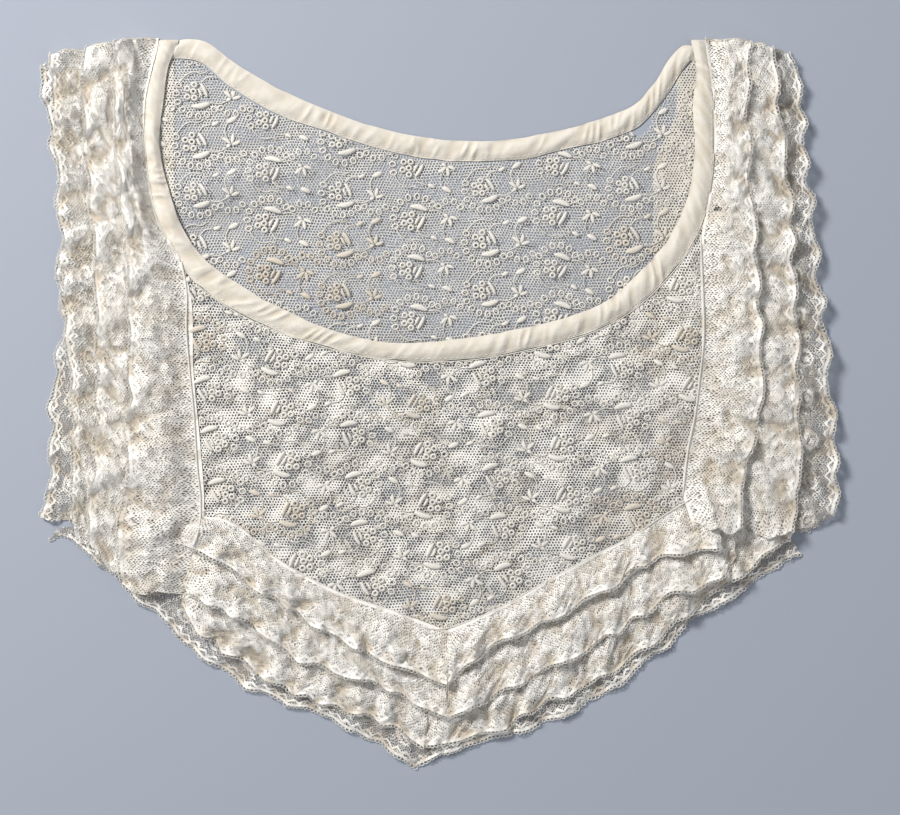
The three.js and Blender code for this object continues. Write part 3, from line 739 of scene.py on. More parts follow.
@dataclass(frozen=True)
class NetFinish:
    """Fine cotton net: a hexagonal mesh of thread, aged a little unevenly, with painted shade in
    its creases.

    Holes are shares of the pitch. Slack is how unevenly close the net lies. A doubled strip, closer
    and darkened with painted shade, is given by the x beyond which it lies, its side and how far
    its line bends at the top.
    """

    EDGE = 0.04

    name: str
    pitch: float = 1.42
    hole: float = 0.39
    thread: Colour = (0.85, 0.82, 0.76)
    darker_tone: Colour = (0.66, 0.58, 0.46)
    slack: float = 0.0
    tears: tuple[tuple[float, float, float], ...] = ()
    doubled: tuple[tuple[float, float, float], ...] = ()

    def build(self) -> bpy.types.Material:
        """Makes the material."""
        s = Surface(self.name)
        x, y = s.cloth_place()
        sway = s.noise(x, y, 8.0, 1.0)
        drift = s.noise(x, y, 37.0, 1.0)
        u = x + (sway - 0.5) * 1.3 + y * 0.1
        v = y + (drift - 0.5) * 4.0 + (sway - 0.5) * 0.8
        distance = s.mesh_distance(u, v, self.pitch)
        fuzz = s.noise(x, y, 0.9, 0.0)
        clouds = s.noise(x * 0.8 + y * 0.6, (y * 0.8 - x * 0.6) * 1.7, 15.0, 1.5)
        patches = ((clouds - 0.5) * self.slack).most(-0.06)
        doubled_and_shaded = self._doubled_and_shaded(s, x, y)
        edge = distance + (fuzz - 0.5) * 0.2 + patches + doubled_and_shaded * ((fuzz + sway) * 0.22 - 0.06)
        thread = edge.rise(self.hole - self.EDGE, self.hole + self.EDGE)
        for tear in self.tears:
            thread = thread * s.torn(x, y, fuzz, tear)
        fold = s.attribute(FOLD_NAME)
        # Painted shade: the low creases of the fold attribute take half the darker tone; the drift
        # noise adds real uneven ageing.
        aged_and_shaded = (1.0 - fold.rise(0.1, 0.6)) * 0.5 + (drift - 0.5) * 0.3 - patches
        # Painted shade: the doubled strip beside the binding takes a quarter more of the darker
        # tone.
        aged_and_shaded = aged_and_shaded + doubled_and_shaded * 0.25
        shade = s.mix(aged_and_shaded, self.thread, self.darker_tone)
        return s.finish(shade, 0.85, thread, 0.2, thread)

    def _doubled_and_shaded(self, s: Surface, x: Value, y: Value) -> Value:
        """1 where the net lies double and takes painted shade, and else 0."""
        curve = y.rise(106.0, 140.0)
        wander = (s.noise(x, y, 19.0, 1.0) - 0.5) * 1.5
        doubled_and_shaded = x * 0.0
        for line, side, bend in self.doubled:
            doubled_and_shaded = doubled_and_shaded.most(((x - line) * side - curve * bend + wander).rise(-0.4, 0.4))
        return doubled_and_shaded


@dataclass(frozen=True)
class LaceFinish:
    """Edging lace: a fine net ground with pale sprigs, a close heading and a close edge, with
    painted shade in its creases and hollows and round its holes.

    A sheer lace, from 0 to 1, has larger holes and clearer sprigs. Lengths are in millimetres.
    """

    EDGE = 0.035
    DEPTH = 0.36

    name: str
    width: float
    sheer: float
    sprig: float = 24.0
    pitch: float = 1.2
    thread: Colour = (0.975, 0.955, 0.915)
    valley: Colour = (0.61, 0.53, 0.425)
    darker_tone: Colour = (0.90, 0.85, 0.76)
    pore_shade: Colour = (0.60, 0.545, 0.47)
    tears: tuple[tuple[float, float, float], ...] = ()

    def build(self) -> bpy.types.Material:
        """Makes the material."""
        s = Surface(self.name)
        x, y = s.cloth_place()
        sway = s.noise(x, y, 4.0, 1.0)
        clusters = s.noise(x, y, 2.8, 1.0)
        u = x * 0.87 + y * 0.5 + (sway - 0.5) * 2.4
        v = y * 0.87 - x * 0.5 + (clusters - 0.5) * 1.8
        ground = s.mesh_distance(u, v, self.pitch)
        close = self._close(s, x, y)
        hole = 0.205 + 0.12 * self.sheer + (clusters - 0.5) * (0.4 - 0.18 * self.sheer)
        open_ = ground + close * 0.7 - hole
        thread = (open_ + 0.03 * (1.0 - self.sheer)).rise(-self.EDGE, self.EDGE)
        for tear in self.tears:
            thread = thread * s.torn(x, y, clusters, tear)
        fold = s.attribute(FOLD_NAME)
        age = s.noise(x, y, 31.0, 1.0).rise(0.42, 0.75)
        # Random soft hollows: they dip the bump and take the valley colour as painted shade.
        hollow = s.noise(x * 0.6, y, 8.0, 1.0).rise(0.48, 0.68)
        tone = s.mix(age * 0.5, self.thread, self.darker_tone)
        # Painted shade: the valley colour darkens the hollows and the low creases of the fold
        # attribute.
        tone = s.mix(hollow * 0.5, tone, self.valley)
        tone = s.mix((1.0 - fold.rise(0.0, 0.55)) * 0.9, tone, self.valley)
        # Painted shade round each hole: the thread near it takes the pore colour.
        colour = s.mix((1.0 - open_.rise(-0.02, 0.16)) * 0.6, tone, self.pore_shade)
        relief = open_.rise(-0.05, 0.2) * 0.8 + close * 0.08 + (clusters + sway) * 0.4
        relief = relief - hollow * 1.4
        return s.finish(colour, 0.8, relief, self.DEPTH, thread)

    def _close(self, s: Surface, x: Value, y: Value) -> Value:
        """The close parts: faint oval sprigs, the heading and the edge band with its arcs."""
        drift = s.noise(x, y, 7.0, 0.0) - 0.5
        along = (x / self.sprig + drift * 0.12).fract() - 0.5
        across = (y - self.width * 0.62) / self.sprig + drift * 0.1
        reach = (along * along + across * across * 3.4).root()
        ring = 1.0 - (reach - 0.2).size().rise(0.015, 0.07)
        heart = 1.0 - reach.rise(0.04, 0.12)
        heading = 1.0 - y.rise(0.6, 1.4)
        border = y.rise(self.width - 1.5, self.width - 0.8)
        arcs = 1.0 - (y - self.width + 2.6 + (x * (TAU / 6.2)).sine() * 0.7).size().rise(0.25, 0.6)
        sprigs = ring.most(heart) * (0.12 + 0.16 * self.sheer)
        return sprigs.most(heading).most(border).most(arcs)


@dataclass(frozen=True)
class BindingFinish:
    """Ivory cotton cut on the bias: a fine slanting weave, a little soiled at random, with painted
    shade in its puckers and a painted highlight on its raised threads.
    """

    name: str = "bias_binding"
    thread_pitch: float = 0.42
    cloth: Colour = (0.81, 0.76, 0.68)
    soil_and_shade: Colour = (0.67, 0.58, 0.45)
    pale: Colour = (0.90, 0.87, 0.80)

    def build(self) -> bpy.types.Material:
        """Makes the material."""
        s = Surface(self.name)
        x, y = s.cloth_place()
        warp = ((x + y) * (TAU / self.thread_pitch)).sine()
        weft = ((x - y) * (TAU / self.thread_pitch)).sine()
        weave = warp * weft * 0.5 + 0.5
        slub = s.noise(x + y, (x - y) * 0.12, 1.4)
        fold = s.attribute(FOLD_NAME)
        soil = s.noise(x, y * 1.6, 17.0, 4.0).rise(0.48, 0.75)
        tone = s.mix(soil * 0.45, self.cloth, self.soil_and_shade)
        # Painted shade: the low parts of the puckers take the soil colour.
        shade = s.mix((1.0 - fold.rise(0.1, 0.6)) * 0.6, tone, self.soil_and_shade)
        # Painted highlight: the raised weave and the slubs are paler.
        colour = s.mix(weave * 0.12 + slub * 0.1, shade, self.pale)
        return s.finish(colour, 0.62, weave * 0.5 + slub * 0.5, 0.1, None, 0.4)


@dataclass(frozen=True)
class ThreadFinish:
    """Embroidery and sewing thread: fine parallel strands, cream, with some flowers stained and
    painted shade between the strands.
    """

    name: str
    strand: float = 0.32
    clean: Colour = (0.99, 0.97, 0.92)
    stained: Colour = (0.64, 0.51, 0.35)
    dull: Colour = (0.82, 0.75, 0.63)
    groove_shade: Colour = (0.70, 0.61, 0.48)

    def build(self) -> bpy.types.Material:
        """Makes the material."""
        s = Surface(self.name)
        x, y = s.cloth_place()
        strands = (x * (TAU / self.strand)).sine() * 0.5 + 0.5
        stray = s.noise(x, y, 0.8, 1.0)
        stain = s.attribute(STAIN_NAME)
        tone = s.mix(stray * 0.15, self.clean, self.dull)
        colour = s.mix(stain * (0.3 + stray * 0.5), tone, self.stained)
        # Painted shade: the grooves between the strands take the groove colour, over the real
        # stains.
        aged_and_shaded = s.mix((1.0 - strands) * 0.14, colour, self.groove_shade)
        return s.finish(aged_and_shaded, 0.5, strands * 0.8 + stray * 0.2, 0.12, None, 0.3)


@dataclass(frozen=True)
class FloorFinish:
    """Plain pale matt floor."""

    name: str = "pale_floor"
    colour: Colour = (0.40, 0.44, 0.52)

    def build(self) -> bpy.types.Material:
        """Makes the material."""
        s = Surface(self.name)
        place = s.node("ShaderNodeTexCoord").outputs["Object"]
        fine = {"Vector": place, "Scale": 900.0, "Detail": 2.0}
        grain = s.value("ShaderNodeTexNoise", None, fine)
        colour = s.mix(grain * 0.1, self.colour, tuple(c * 0.9 for c in self.colour))
        return s.finish(colour, 0.9, grain, 0.05, None, 0.0)


# ---- Sheets of cloth ----
@dataclass
class Sheet:
    """One open sheet of cloth as a grid of points, columns along it and rows across it."""

    name: str
    points: Points
    place: Points
    fold: Points

    def area(self) -> float:
        """Area of the sheet in square metres."""
        a, b, c, d = self._corners()
        halves = (np.cross(b - a, c - a), np.cross(c - a, d - a))
        doubled = sum(np.linalg.norm(half, axis=-1) for half in halves)
        return float(doubled.sum() / 2) * MM * MM

    def _corners(self) -> tuple[Points, Points, Points, Points]:
        """Corner points of every cell."""
        p = self.points
        return p[:-1, :-1], p[1:, :-1], p[1:, 1:], p[:-1, 1:]

    def build(self, material: bpy.types.Material) -> bpy.types.Object:
        """Makes the sheet's object, facing up.

        Args:
            material: Its finish.

        Returns:
            The object, in the scene.
        """
        columns, rows = self.points.shape[:2]
        index = np.arange(columns * rows).reshape(columns, rows)
        corners = [index[:-1, :-1], index[1:, :-1], index[1:, 1:], index[:-1, 1:]]
        faces = np.stack(corners, -1).reshape(-1, 4)
        a, b, c, _ = self._corners()
        if np.cross(b - a, c - a)[..., 2].sum() < 0:
            faces = faces[:, ::-1]
        mesh = bpy.data.meshes.new(self.name)
        mesh.from_pydata((self.points.reshape(-1, 3) * MM).tolist(), [], faces.tolist())
        layer = mesh.uv_layers.new(name=UV_NAME)
        layer.data.foreach_set("uv", (self.place.reshape(-1, 2) * MM)[faces.reshape(-1)].ravel())
        fold = mesh.attributes.new(FOLD_NAME, "FLOAT", "POINT")
        fold.data.foreach_set("value", self.fold.ravel().astype(np.float32))
        mesh.polygons.foreach_set("use_smooth", np.ones(len(faces), bool))
        mesh.materials.append(material)
        return link(mesh)


def link(mesh: bpy.types.Mesh) -> bpy.types.Object:
    """Puts a mesh in the scene as an object of the same name."""
    piece = bpy.data.objects.new(mesh.name, mesh)
    bpy.context.scene.collection.objects.link(piece)
    return piece


def fold_shade(height: Points, along: float, across: float, depth: float) -> Points:
    """How far each point stands out of its surroundings, from 0 in a valley to 1 on a crest.

    Args:
        height: Heights of a sheet, in millimetres.
        along: How far the surroundings reach along it, in grid steps.
        across: How far they reach across it.
        depth: The height that counts as a whole crest.

    Returns:
        The shares.
    """
    return np.clip(0.5 + (height - blur(height, along, across)) / (2 * depth), 0, 1)


def over_shoulder(
    grid: Points, place: Points, at_start: bool, steps: int = 5
) -> tuple[Points, Points]:
    """Turns the end of a sheet down over the shoulder fold, on a quarter round.

    Args:
        grid: Points of the sheet.
        place: Its map.
        at_start: Whether its first end turns, and not its last.
        steps: Columns in the turn.

    Returns:
        The longer sheet and map.
    """
    edge, edge_place = (grid[0], place[0]) if at_start else (grid[-1], place[-1])
    sign = -1.0 if at_start else 1.0
    turned, mapped = [], []
    for step in range(1, steps + 1):
        angle = 0.5 * math.pi * step / steps
        column = edge.copy()
        column[:, 1] += SHOULDER_REACH * math.sin(angle)
        column[:, 2] = FOLD_CLEARANCE + (edge[:, 2] - FOLD_CLEARANCE) * math.cos(angle)
        turned.append(column)
        mapped.append(edge_place + np.array([sign * step * SHOULDER_STEP, 0.0]))
    if at_start:
        return np.concatenate([turned[::-1], grid]), np.concatenate([mapped[::-1], place])
    return np.concatenate([grid, turned]), np.concatenate([place, mapped])


def over_shoulders(grid: Points, place: Points) -> tuple[Points, Points]:
    """Turns both ends of a sheet down over the shoulder folds."""
    return over_shoulder(*over_shoulder(grid, place, True), False)


class Cloth:
    """What every piece of cloth shares: its place on the frame and how it rides on the collar."""

    def __init__(self, stack: Stack) -> None:
        """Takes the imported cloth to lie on."""
        self.stack = stack

    def settle(self, name: str, inset: Points, spread: tuple[float, float]) -> Points:
        """Heights of the middle of a node's wall over a grid.

        Args:
            name: The node.
            inset: The grid's plan points, moved a little inside the outline to meet the wall.
            spread: How far facets are evened out along and across, in grid steps.

        Returns:
            The heights in millimetres.
        """
        low, high = self.stack.wall(name, inset)
        return blur((low + high) / 2, *spread)

    @staticmethod
    def carry(piece: bpy.types.Object, node: str, slot: Slot) -> None:
        """Makes a piece ride on the collar in place of a node, which it hides."""
        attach(piece, BODY)
        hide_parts(node)

    def lay(self, piece: bpy.types.Object) -> bpy.types.Object:
        """Lets the next sheets lie on a finished piece, and gives it back."""
        self.stack.lay(piece)
        self.report(piece)
        return piece

    @staticmethod
    def report(piece: bpy.types.Object) -> None:
        """Logs a finished piece."""
        triangles = sum(len(polygon.vertices) - 2 for polygon in piece.data.polygons)
        log.info("%s: %d triangles", piece.name, triangles)


class Ruffle(Cloth):
    """One gathered strip of edging lace.

    Fullness is flat length over gathered length, and creases are between DEEPEST and HIGHEST. The
    other lengths are how far its ends, corners, edge lobes and heading depart from its plain cut.
    """

    FULLNESS = 1.25
    COLUMN_PITCH = 0.72
    ROWS = 26
    DEEPEST = 2.2
    CLEARANCE = 0.28
    EDGE_LOBE = 12.5
    END_FRILL = 8.0
    LAP = 0.45
    OVERLAP = 5.0
    CORNER = 3.0
    SHOULDER_HEADING = 2.6
    EVENED = (3.2, 2.2)
    HIGHEST = 2.4
    SEARCH = 2.6
    SPARE = 0.2
    LEAST_ROOM = 0.05
    HEADER_RISE = 0.25
    NECK_RUN = 30.0

    def __init__(self, stack: Stack, cut: RuffleCut, seed: int) -> None:
        """Takes the strip's cut and the seed of its creases."""
        super().__init__(stack)
        self.cut = cut
        self.seed = seed
        self.header = Line(cut.header)
        self.edge = Line(cut.edge)
        self.columns = int(self.edge.length / self.COLUMN_PITCH)

    @property
    def flat_length(self) -> float:
        """Length of the strip before gathering, in millimetres."""
        return (self.header.length + self.edge.length) / 2 * self.FULLNESS

    @property
    def width(self) -> float:
        """Mean width of the strip in millimetres."""
        shares = np.linspace(0, 1, 21)
        return float(np.linalg.norm(self.edge.at(shares) - self.header.at(shares), axis=-1).mean())

    def phase(self, share: Points) -> Points:
        """Which wave each share of the strip lies in, as the frame's own waves run."""
        start = self.cut.start
        return (
            start + self.cut.waves * share + 0.2 * np.sin(TAU * (1.3 * share + start))
            + 0.11 * np.sin(TAU * (3.1 * share + 2 * start))
        )

    def grid(self, shares: Points, across: Points, frill: float) -> Points:
        """Plan points of the strip.

        Args:
            shares: Shares along it.
            across: Shares across it, from the header to the edge.
            frill: 1 for the sheet with its frilled ends, small lobes and heading, 0 for the wall.

        Returns:
            The points, in the frame's millimetres.
        """
        inner, outer = self.header.at(shares), self.edge.at(shares)
        out = outer - inner
        out /= np.linalg.norm(out, axis=-1, keepdims=True)
        plan = inner[:, None] + (outer - inner)[:, None] * across[None, :, None]
        ends = np.minimum(1, np.minimum(6 * shares, 6 * (1 - shares)))
        waves = self.cut.scallop * np.cos(TAU * self.phase(shares)) * ends
        along = shares * self.edge.length
        lobe = np.abs(np.sin(math.pi * along / self.EDGE_LOBE)) ** 0.7 - 0.6
        lobe = lobe * (0.25 + 0.6 * self.cut.sheer)
        lobe = lobe + 0.7 * soft_noise(along / 7.0, along * 0, self.seed + 5)
        lobe *= frill
        push = (waves + lobe)[:, None] * smoothstep(across, 0.6, 1.0)[None, :]
        near_neck = (self.cut.heading > 0) * self.SHOULDER_HEADING
        heading = self.cut.heading + near_neck * (1 - smoothstep(along, 0, self.NECK_RUN))
        push -= frill * heading[:, None] * (1 - smoothstep(across, 0.0, 0.3))[None, :]
        tangent = np.stack([out[:, 1], -out[:, 0]], -1)
        if np.dot(tangent.mean(0), (inner[-1] - inner[0])) < 0:
            tangent = -tangent
        slide = frill * self._slide(along, across)
        moved = out[:, None] * push[..., None] + tangent[:, None] * slide[..., None]
        return plan + moved + np.array(FRAME_SHIFT)

    def _slide(self, along: Points, across: Points) -> Points:
        """How far points near the two ends are pushed along the strip, in millimetres."""
        length = self.edge.length
        near = (
            1 - smoothstep(along, 0, self.END_FRILL),
            smoothstep(along, length - self.END_FRILL, length),
        )
        total = np.zeros((len(along), len(across)))
        for index, (end, sign) in enumerate(zip(self.cut.ends, (-1.0, 1.0))):
            ragged = soft_noise(across * self.width / 5.0, across * 0 + 3 * index, self.seed + 7)
            ragged = 1.7 * ragged
            corner = self.CORNER * smoothstep(across, 0.72, 1.0) ** 2
            push = {
                End.FOLDED: 0.45 * ragged - 0.7 * corner, End.JOINED: across * 0 + self.LAP,
                End.RAW: ragged - 0.6 - corner,
                End.OVER: ragged + self.OVERLAP * smoothstep(across, 0.0, 0.4) - corner,
            }[end]
            total += sign * near[index][:, None] * push[None, :]
        return total

    def relief(self, shares: Points, across: Points, plan: Points) -> Points:
        """Creases of the strip over the height of its wall, in millimetres."""
        share, side = np.meshgrid(shares, across, indexing="ij")
        x, y = plan[..., 0], plan[..., 1]
        along, width = share * self.edge.length, side * self.width
        turns = self.phase(share) - self.cut.lean * self.cut.waves * side
        crest = 0.5 + 0.5 * np.cos(TAU * turns)
        sharp = 1.4 * side**0.8 * (crest**2.5 - 0.35)
        gathers = soft_noise((along + 0.3 * width) / 2.0, width / 15, self.seed) * 0.6
        gathers *= np.exp(-((side / 0.45) ** 2))
        puffs = soft_noise((x + 0.45 * y) / 8.0, (y - 0.45 * x) / 12.0, self.seed + 1)
        puffs = np.abs(puffs) * 2.7 - 0.8
        swells = soft_noise((x + 0.2 * y) / 13.0, (y - 0.2 * x) / 17.0, self.seed + 2) * 0.8
        pleats = soft_noise((along + 0.8 * width) / 3.4, (width - 0.5 * along) / 8.5, self.seed + 3)
        crinkle = (0.5 - np.abs(pleats)) * 1.25
        fine = soft_noise((along - 0.4 * width) / 1.6, width / 3.2, self.seed + 6) * 0.3
        flutter = soft_noise(along / 4.0, width / 30, self.seed + 4) * smoothstep(side, 0.62, 1.0)
        held = 0.4 + 0.6 * smoothstep(side, 0.0, 0.35)
        return (sharp + puffs + swells + crinkle) * held + gathers + fine + flutter

    def _free(self, shares: Points) -> Points:
        """Columns that lie beyond the frame's wall, over a neighbour."""
        along = shares * self.edge.length
        free = np.zeros(len(shares), bool)
        if self.cut.ends[0] is End.OVER:
            free |= along < self.END_FRILL
        if self.cut.ends[1] is End.OVER:
            free |= along > self.edge.length - self.END_FRILL
        return free

    def sheet(self) -> Sheet:
        """Works out the strip's sheet."""
        shares = np.linspace(0, 1, self.columns + 1)
        across = np.linspace(0, 1, self.ROWS + 1)
        plan = self.grid(shares, across, 1.0)
        inset = self.grid(np.clip(shares, 0.004, 0.996), np.clip(across, 0.02, 0.97), 0.0)
        middle = self.settle(self.cut.name, inset, self.EVENED)
        room = self.stack.headroom(self.cut.name, np.dstack([plan, middle]), self.SEARCH)
        room = np.maximum(room - self.SPARE, self.LEAST_ROOM)
        room[self._free(shares)] = RAY_HEIGHT
        tallest = np.minimum(room, self.HIGHEST)
        relief = np.clip(self.relief(shares, across, plan), -self.DEEPEST, tallest)
        ground = self.stack.ground(plan) + self.CLEARANCE
        height = np.maximum(middle + relief, np.minimum(ground, middle + room))
        sewn = (1 - smoothstep(across, 0.0, 0.4))[None, :] * np.ones_like(height)
        height -= sewn * np.maximum(height - ground - self.HEADER_RISE, 0)
        grid = np.dstack([plan, blur(height, 0.6, 0.4)])
        flat = (shares * self.flat_length, across * self.width)
        place = np.stack(np.meshgrid(*flat, indexing="ij"), -1)
        if self.cut.ends[0] is End.FOLDED:
            grid, place = over_shoulder(grid, place, True)
        # Painted-shade mask: low in the lace's creases, and weakened near the header.
        fold = fold_shade(grid[..., 2], 12, 8, 1.3)
        near_header = smoothstep(place[..., 1], 0.05 * self.width, 0.4 * self.width)
        fold = 1 - (1 - fold) * (0.25 + 0.75 * near_header)
        return Sheet(f"lace_{self.cut.name}", grid, place, fold)

    def dress(
        self, material: bpy.types.Material, edges: list[tuple[Points, Points]]
    ) -> bpy.types.Object:
        """Args:
            material: Its finish.
            edges: Takes the last two lines of its free edge, for the picots.

        Returns:
            The strip's object.
        """
        sheet = self.sheet()
        piece = sheet.build(material)
        edges.append((sheet.points[:, -1], sheet.points[:, -3]))
        self.carry(piece, self.cut.name, Slot.LACE)
        flat = (self.width * MM, self.flat_length * MM)
        return self.lay(piece)


@dataclass(frozen=True)
class Crease:
    """A soft ridge or trough from one plan point to another, in millimetres."""

    x0: float
    y0: float
    x1: float
    y1: float
    height: float
    half_width: float

    def over(self, x: Points, y: Points) -> Points:
        """Height of the crease at plan points."""
        dx, dy = self.x1 - self.x0, self.y1 - self.y0
        along = np.clip(((x - self.x0) * dx + (y - self.y0) * dy) / (dx * dx + dy * dy), 0, 1)
        away = np.hypot(x - self.x0 - along * dx, y - self.y0 - along * dy) / self.half_width
        return self.height * np.exp(-away * away)


class Panel(Cloth):
    """A net foundation between its neck seam and its outline.

    Its columns are counted for each side of the outline. SPARE stays clear under the next piece.
    """

    COLUMNS = (110, 62, 62, 110)
    ROWS = 70
    EVENED = (2.5, 2.0)
    SEARCH = 6.0
    SPARE = 0.9
    DEEPEST = 0.9
    CLEARANCE = 0.3
    END_COLUMNS = 6
    INSET = 0.006
    FLAT_SHARE = 0.98

    def __init__(
        self,
        stack: Stack,
        name: str,
        sides: Sequence[Sequence[tuple[float, float]]],
        neck: Callable[[Points], Points],
        creases: Sequence[Crease],
        folded: bool,
        seed: int,
    ) -> None:
        """Takes the outline, the neck line, the creases and whether the ends turn down."""
        super().__init__(stack)
        self.name = name
        self.sides = [Line(side) for side in sides]
        self.neck = neck
        self.creases = creases
        self.folded = folded
        self.seed = seed

    def outline(self, shares: Points) -> Points:
        """Outline points that face shares of the neck line."""
        result = np.zeros((len(shares), 2))
        start = 0.0
        for side, end in zip(self.sides, NECK_BREAKS):
            chosen = (shares >= start) & (shares <= end)
            result[chosen] = side.at((shares[chosen] - start) / (end - start))
            start = end
        return result

    def shares(self) -> Points:
        """Shares of the neck line for the columns, with every corner of the outline among them."""
        starts = (0.0, *NECK_BREAKS)
        stretches = zip(starts, NECK_BREAKS, self.COLUMNS)
        parts = [np.linspace(start, end, count, endpoint=False) for start, end, count in stretches]
        return np.concatenate([*parts, [1.0]])

    def relief(self, plan: Points) -> Points:
        """Creases and the slight crumple of the net, in millimetres."""
        x, y = plan[..., 0], plan[..., 1]
        total = sum(crease.over(x, y) for crease in self.creases)
        total = total + 0.35 * soft_noise((x + 0.4 * y) / 21, (y - 0.4 * x) / 13, self.seed)
        return total + 0.2 * soft_noise(x / 6.5, y / 7.5, self.seed + 1)

    def sheet(self) -> Sheet:
        """Works out the panel's sheet."""
        shares = self.shares()
        across = np.linspace(0, 1, self.ROWS + 1)
        neck, outline = self.neck(shares), self.outline(shares)
        rays = (outline - neck)[:, None]
        inner = np.clip(across, self.INSET, 1 - self.INSET)
        plan = neck[:, None] + rays * across[None, :, None] + np.array(FRAME_SHIFT)
        inset = neck[:, None] + rays * inner[None, :, None] + np.array(FRAME_SHIFT)
        middle = self.settle(self.name, inset, self.EVENED)
        grid = np.dstack([plan, middle])
        room = self.stack.headroom(self.name, grid, self.SEARCH) - self.SPARE
        relief = np.clip(self.relief(plan), -self.DEEPEST, np.maximum(room, 0.0))
        columns = np.arange(len(shares))
        ends = np.clip(np.minimum(columns, columns[::-1]) / self.END_COLUMNS, 0, 1)
        ground = self.stack.ground(plan) + self.CLEARANCE
        grid[..., 2] = np.maximum(middle + relief * ends[:, None], np.minimum(ground, middle))
        place = plan.copy()
        if self.folded:
            grid, place = over_shoulders(grid, place)
        return Sheet(f"net_{self.name}", grid, place, fold_shade(grid[..., 2], 9, 5, 1.2))

    def dress(self, material: bpy.types.Material) -> bpy.types.Object:
        sheet = self.sheet()
        piece = sheet.build(material)
        self.carry(piece, self.name, Slot.NET)
        low, high = sheet.points.reshape(-1, 3).min(0), sheet.points.reshape(-1, 3).max(0)
        width, length = (float(size) * MM for size in (high - low)[:2])
        flat_area = min(sheet.area() * self.FLAT_SHARE, width * length)
        return self.lay(piece)


class Binding(Cloth):
    """One stretch of the bias binding: a soft flattened roll with slanting puckers."""

    ROWS = 16
    COLUMN_PITCH = 0.6
    EVENED = (5, 1)
    RIM = 0.25
    SLANT = 1.6
    FINISHED_WIDTH = 10.0
    UNDER = 0.1

    def __init__(
        self, stack: Stack, name: str, opening: Sequence[tuple[float, float]],
        seam: Sequence[tuple[float, float]], folded: bool, seed: int,
    ) -> None:
        """Takes the binding's two lines and whether its ends turn over the shoulders."""
        super().__init__(stack)
        self.name = name
        self.opening = Line(opening)
        self.seam = Line(seam)
        self.folded = folded
        self.seed = seed

    def sheet(self) -> Sheet:
        """Works out the binding's sheet."""
        columns = int(self.seam.length / self.COLUMN_PITCH)
        shares = np.linspace(0, 1, columns + 1)
        across = np.linspace(0, 1, self.ROWS + 1)
        opening, seam = self.opening.at(shares), self.seam.at(shares)
        out = (seam - opening) / np.linalg.norm(seam - opening, axis=-1, keepdims=True)
        length = shares * self.seam.length
        wobble = [0.3 * soft_noise(length / 6.5, length * 0, self.seed + edge) for edge in (5, 6)]
        rim = self.RIM + np.stack(wobble, -1)
        ends = ((opening - out * rim[:, :1])[:, None], (seam + out * rim[:, 1:])[:, None])
        plan = ends[0] + (ends[1] - ends[0]) * across[None, :, None] + np.array(FRAME_SHIFT)
        inner = np.clip(across, 0.04, 0.96)
        inset = opening[:, None] + (seam - opening)[:, None] * inner[None, :, None]
        walls = self.stack.wall(self.name, inset + np.array(FRAME_SHIFT))
        low, high = (blur(wall, *self.EVENED) for wall in walls)
        round_ = np.sin(math.pi * np.clip(across, 0.02, 0.98)) ** 0.3
        along = (shares * self.seam.length)[:, None]
        side = across[None, :]
        slant = along / 4.3 + side * self.SLANT
        slant = slant + 1.3 * soft_noise(along / 19, side * 0, self.seed + 3)
        puckers = 0.5 - np.abs(soft_noise(slant, side * 1.2 + along * 0.03, self.seed)) * 1.7
        folds = soft_noise(along / 8.0 + side * self.SLANT * 0.6, side * 0.8, self.seed + 2)
        crumple = soft_noise(along / 3.1 + side * self.SLANT * 1.4, side * 2.6, self.seed + 4)
        tight = 0.55 + 0.45 * np.clip(soft_noise(along / 27, side * 0, self.seed + 1) + 0.6, 0, 1)
        pucker = (0.75 * puckers + 0.55 * folds + 0.3 * crumple) * tight
        pucker = pucker * np.sin(math.pi * side) ** 0.4
        height = low + (high - low) * (0.08 + 0.92 * round_[None, :]) + pucker
        grid = np.dstack([plan, np.maximum(height, np.maximum(low, self.UNDER))])
        width = float(np.linalg.norm(seam - opening, axis=-1).mean())
        place = np.stack(np.meshgrid(shares * self.seam.length, across * width, indexing="ij"), -1)
        if self.folded:
            grid, place = over_shoulders(grid, place)
        fold = fold_shade(grid[..., 2], 8, 0, 0.65)
        return Sheet(f"cloth_{self.name}", grid, place, fold)

    def dress(self, material: bpy.types.Material) -> bpy.types.Object:
        sheet = self.sheet()
        piece = sheet.build(material)
        self.carry(piece, self.name, Slot.BINDING)
        return self.lay(piece)


# ---- Thread work ----
@dataclass
class Shape:
    """Points, faces and a map for each face corner, in millimetres."""

    points: list[tuple[float, float, float]] = field(default_factory=list)
    faces: list[tuple[int, ...]] = field(default_factory=list)
    places: list[tuple[float, float]] = field(default_factory=list)

    def add(self, other: "Shape", lift: float = 0.0) -> None:
        """Takes in another shape, lifted by some millimetres."""
        start = len(self.points)
        self.points += [(x, y, z + lift) for x, y, z in other.points]
        self.faces += [tuple(index + start for index in face) for face in other.faces]
        self.places += other.places

    def build(self, name: str, material: bpy.types.Material | None = None) -> bpy.types.Object:
        """Makes the shape's object."""
        mesh = bpy.data.meshes.new(name)
        mesh.from_pydata((np.array(self.points) * MM).tolist(), [], self.faces)
        layer = mesh.uv_layers.new(name=UV_NAME)
        layer.data.foreach_set("uv", (np.array(self.places) * MM).ravel())
        mesh.polygons.foreach_set("use_smooth", np.ones(len(self.faces), bool))
        if material is not None:
            mesh.materials.append(material)
        return link(mesh)


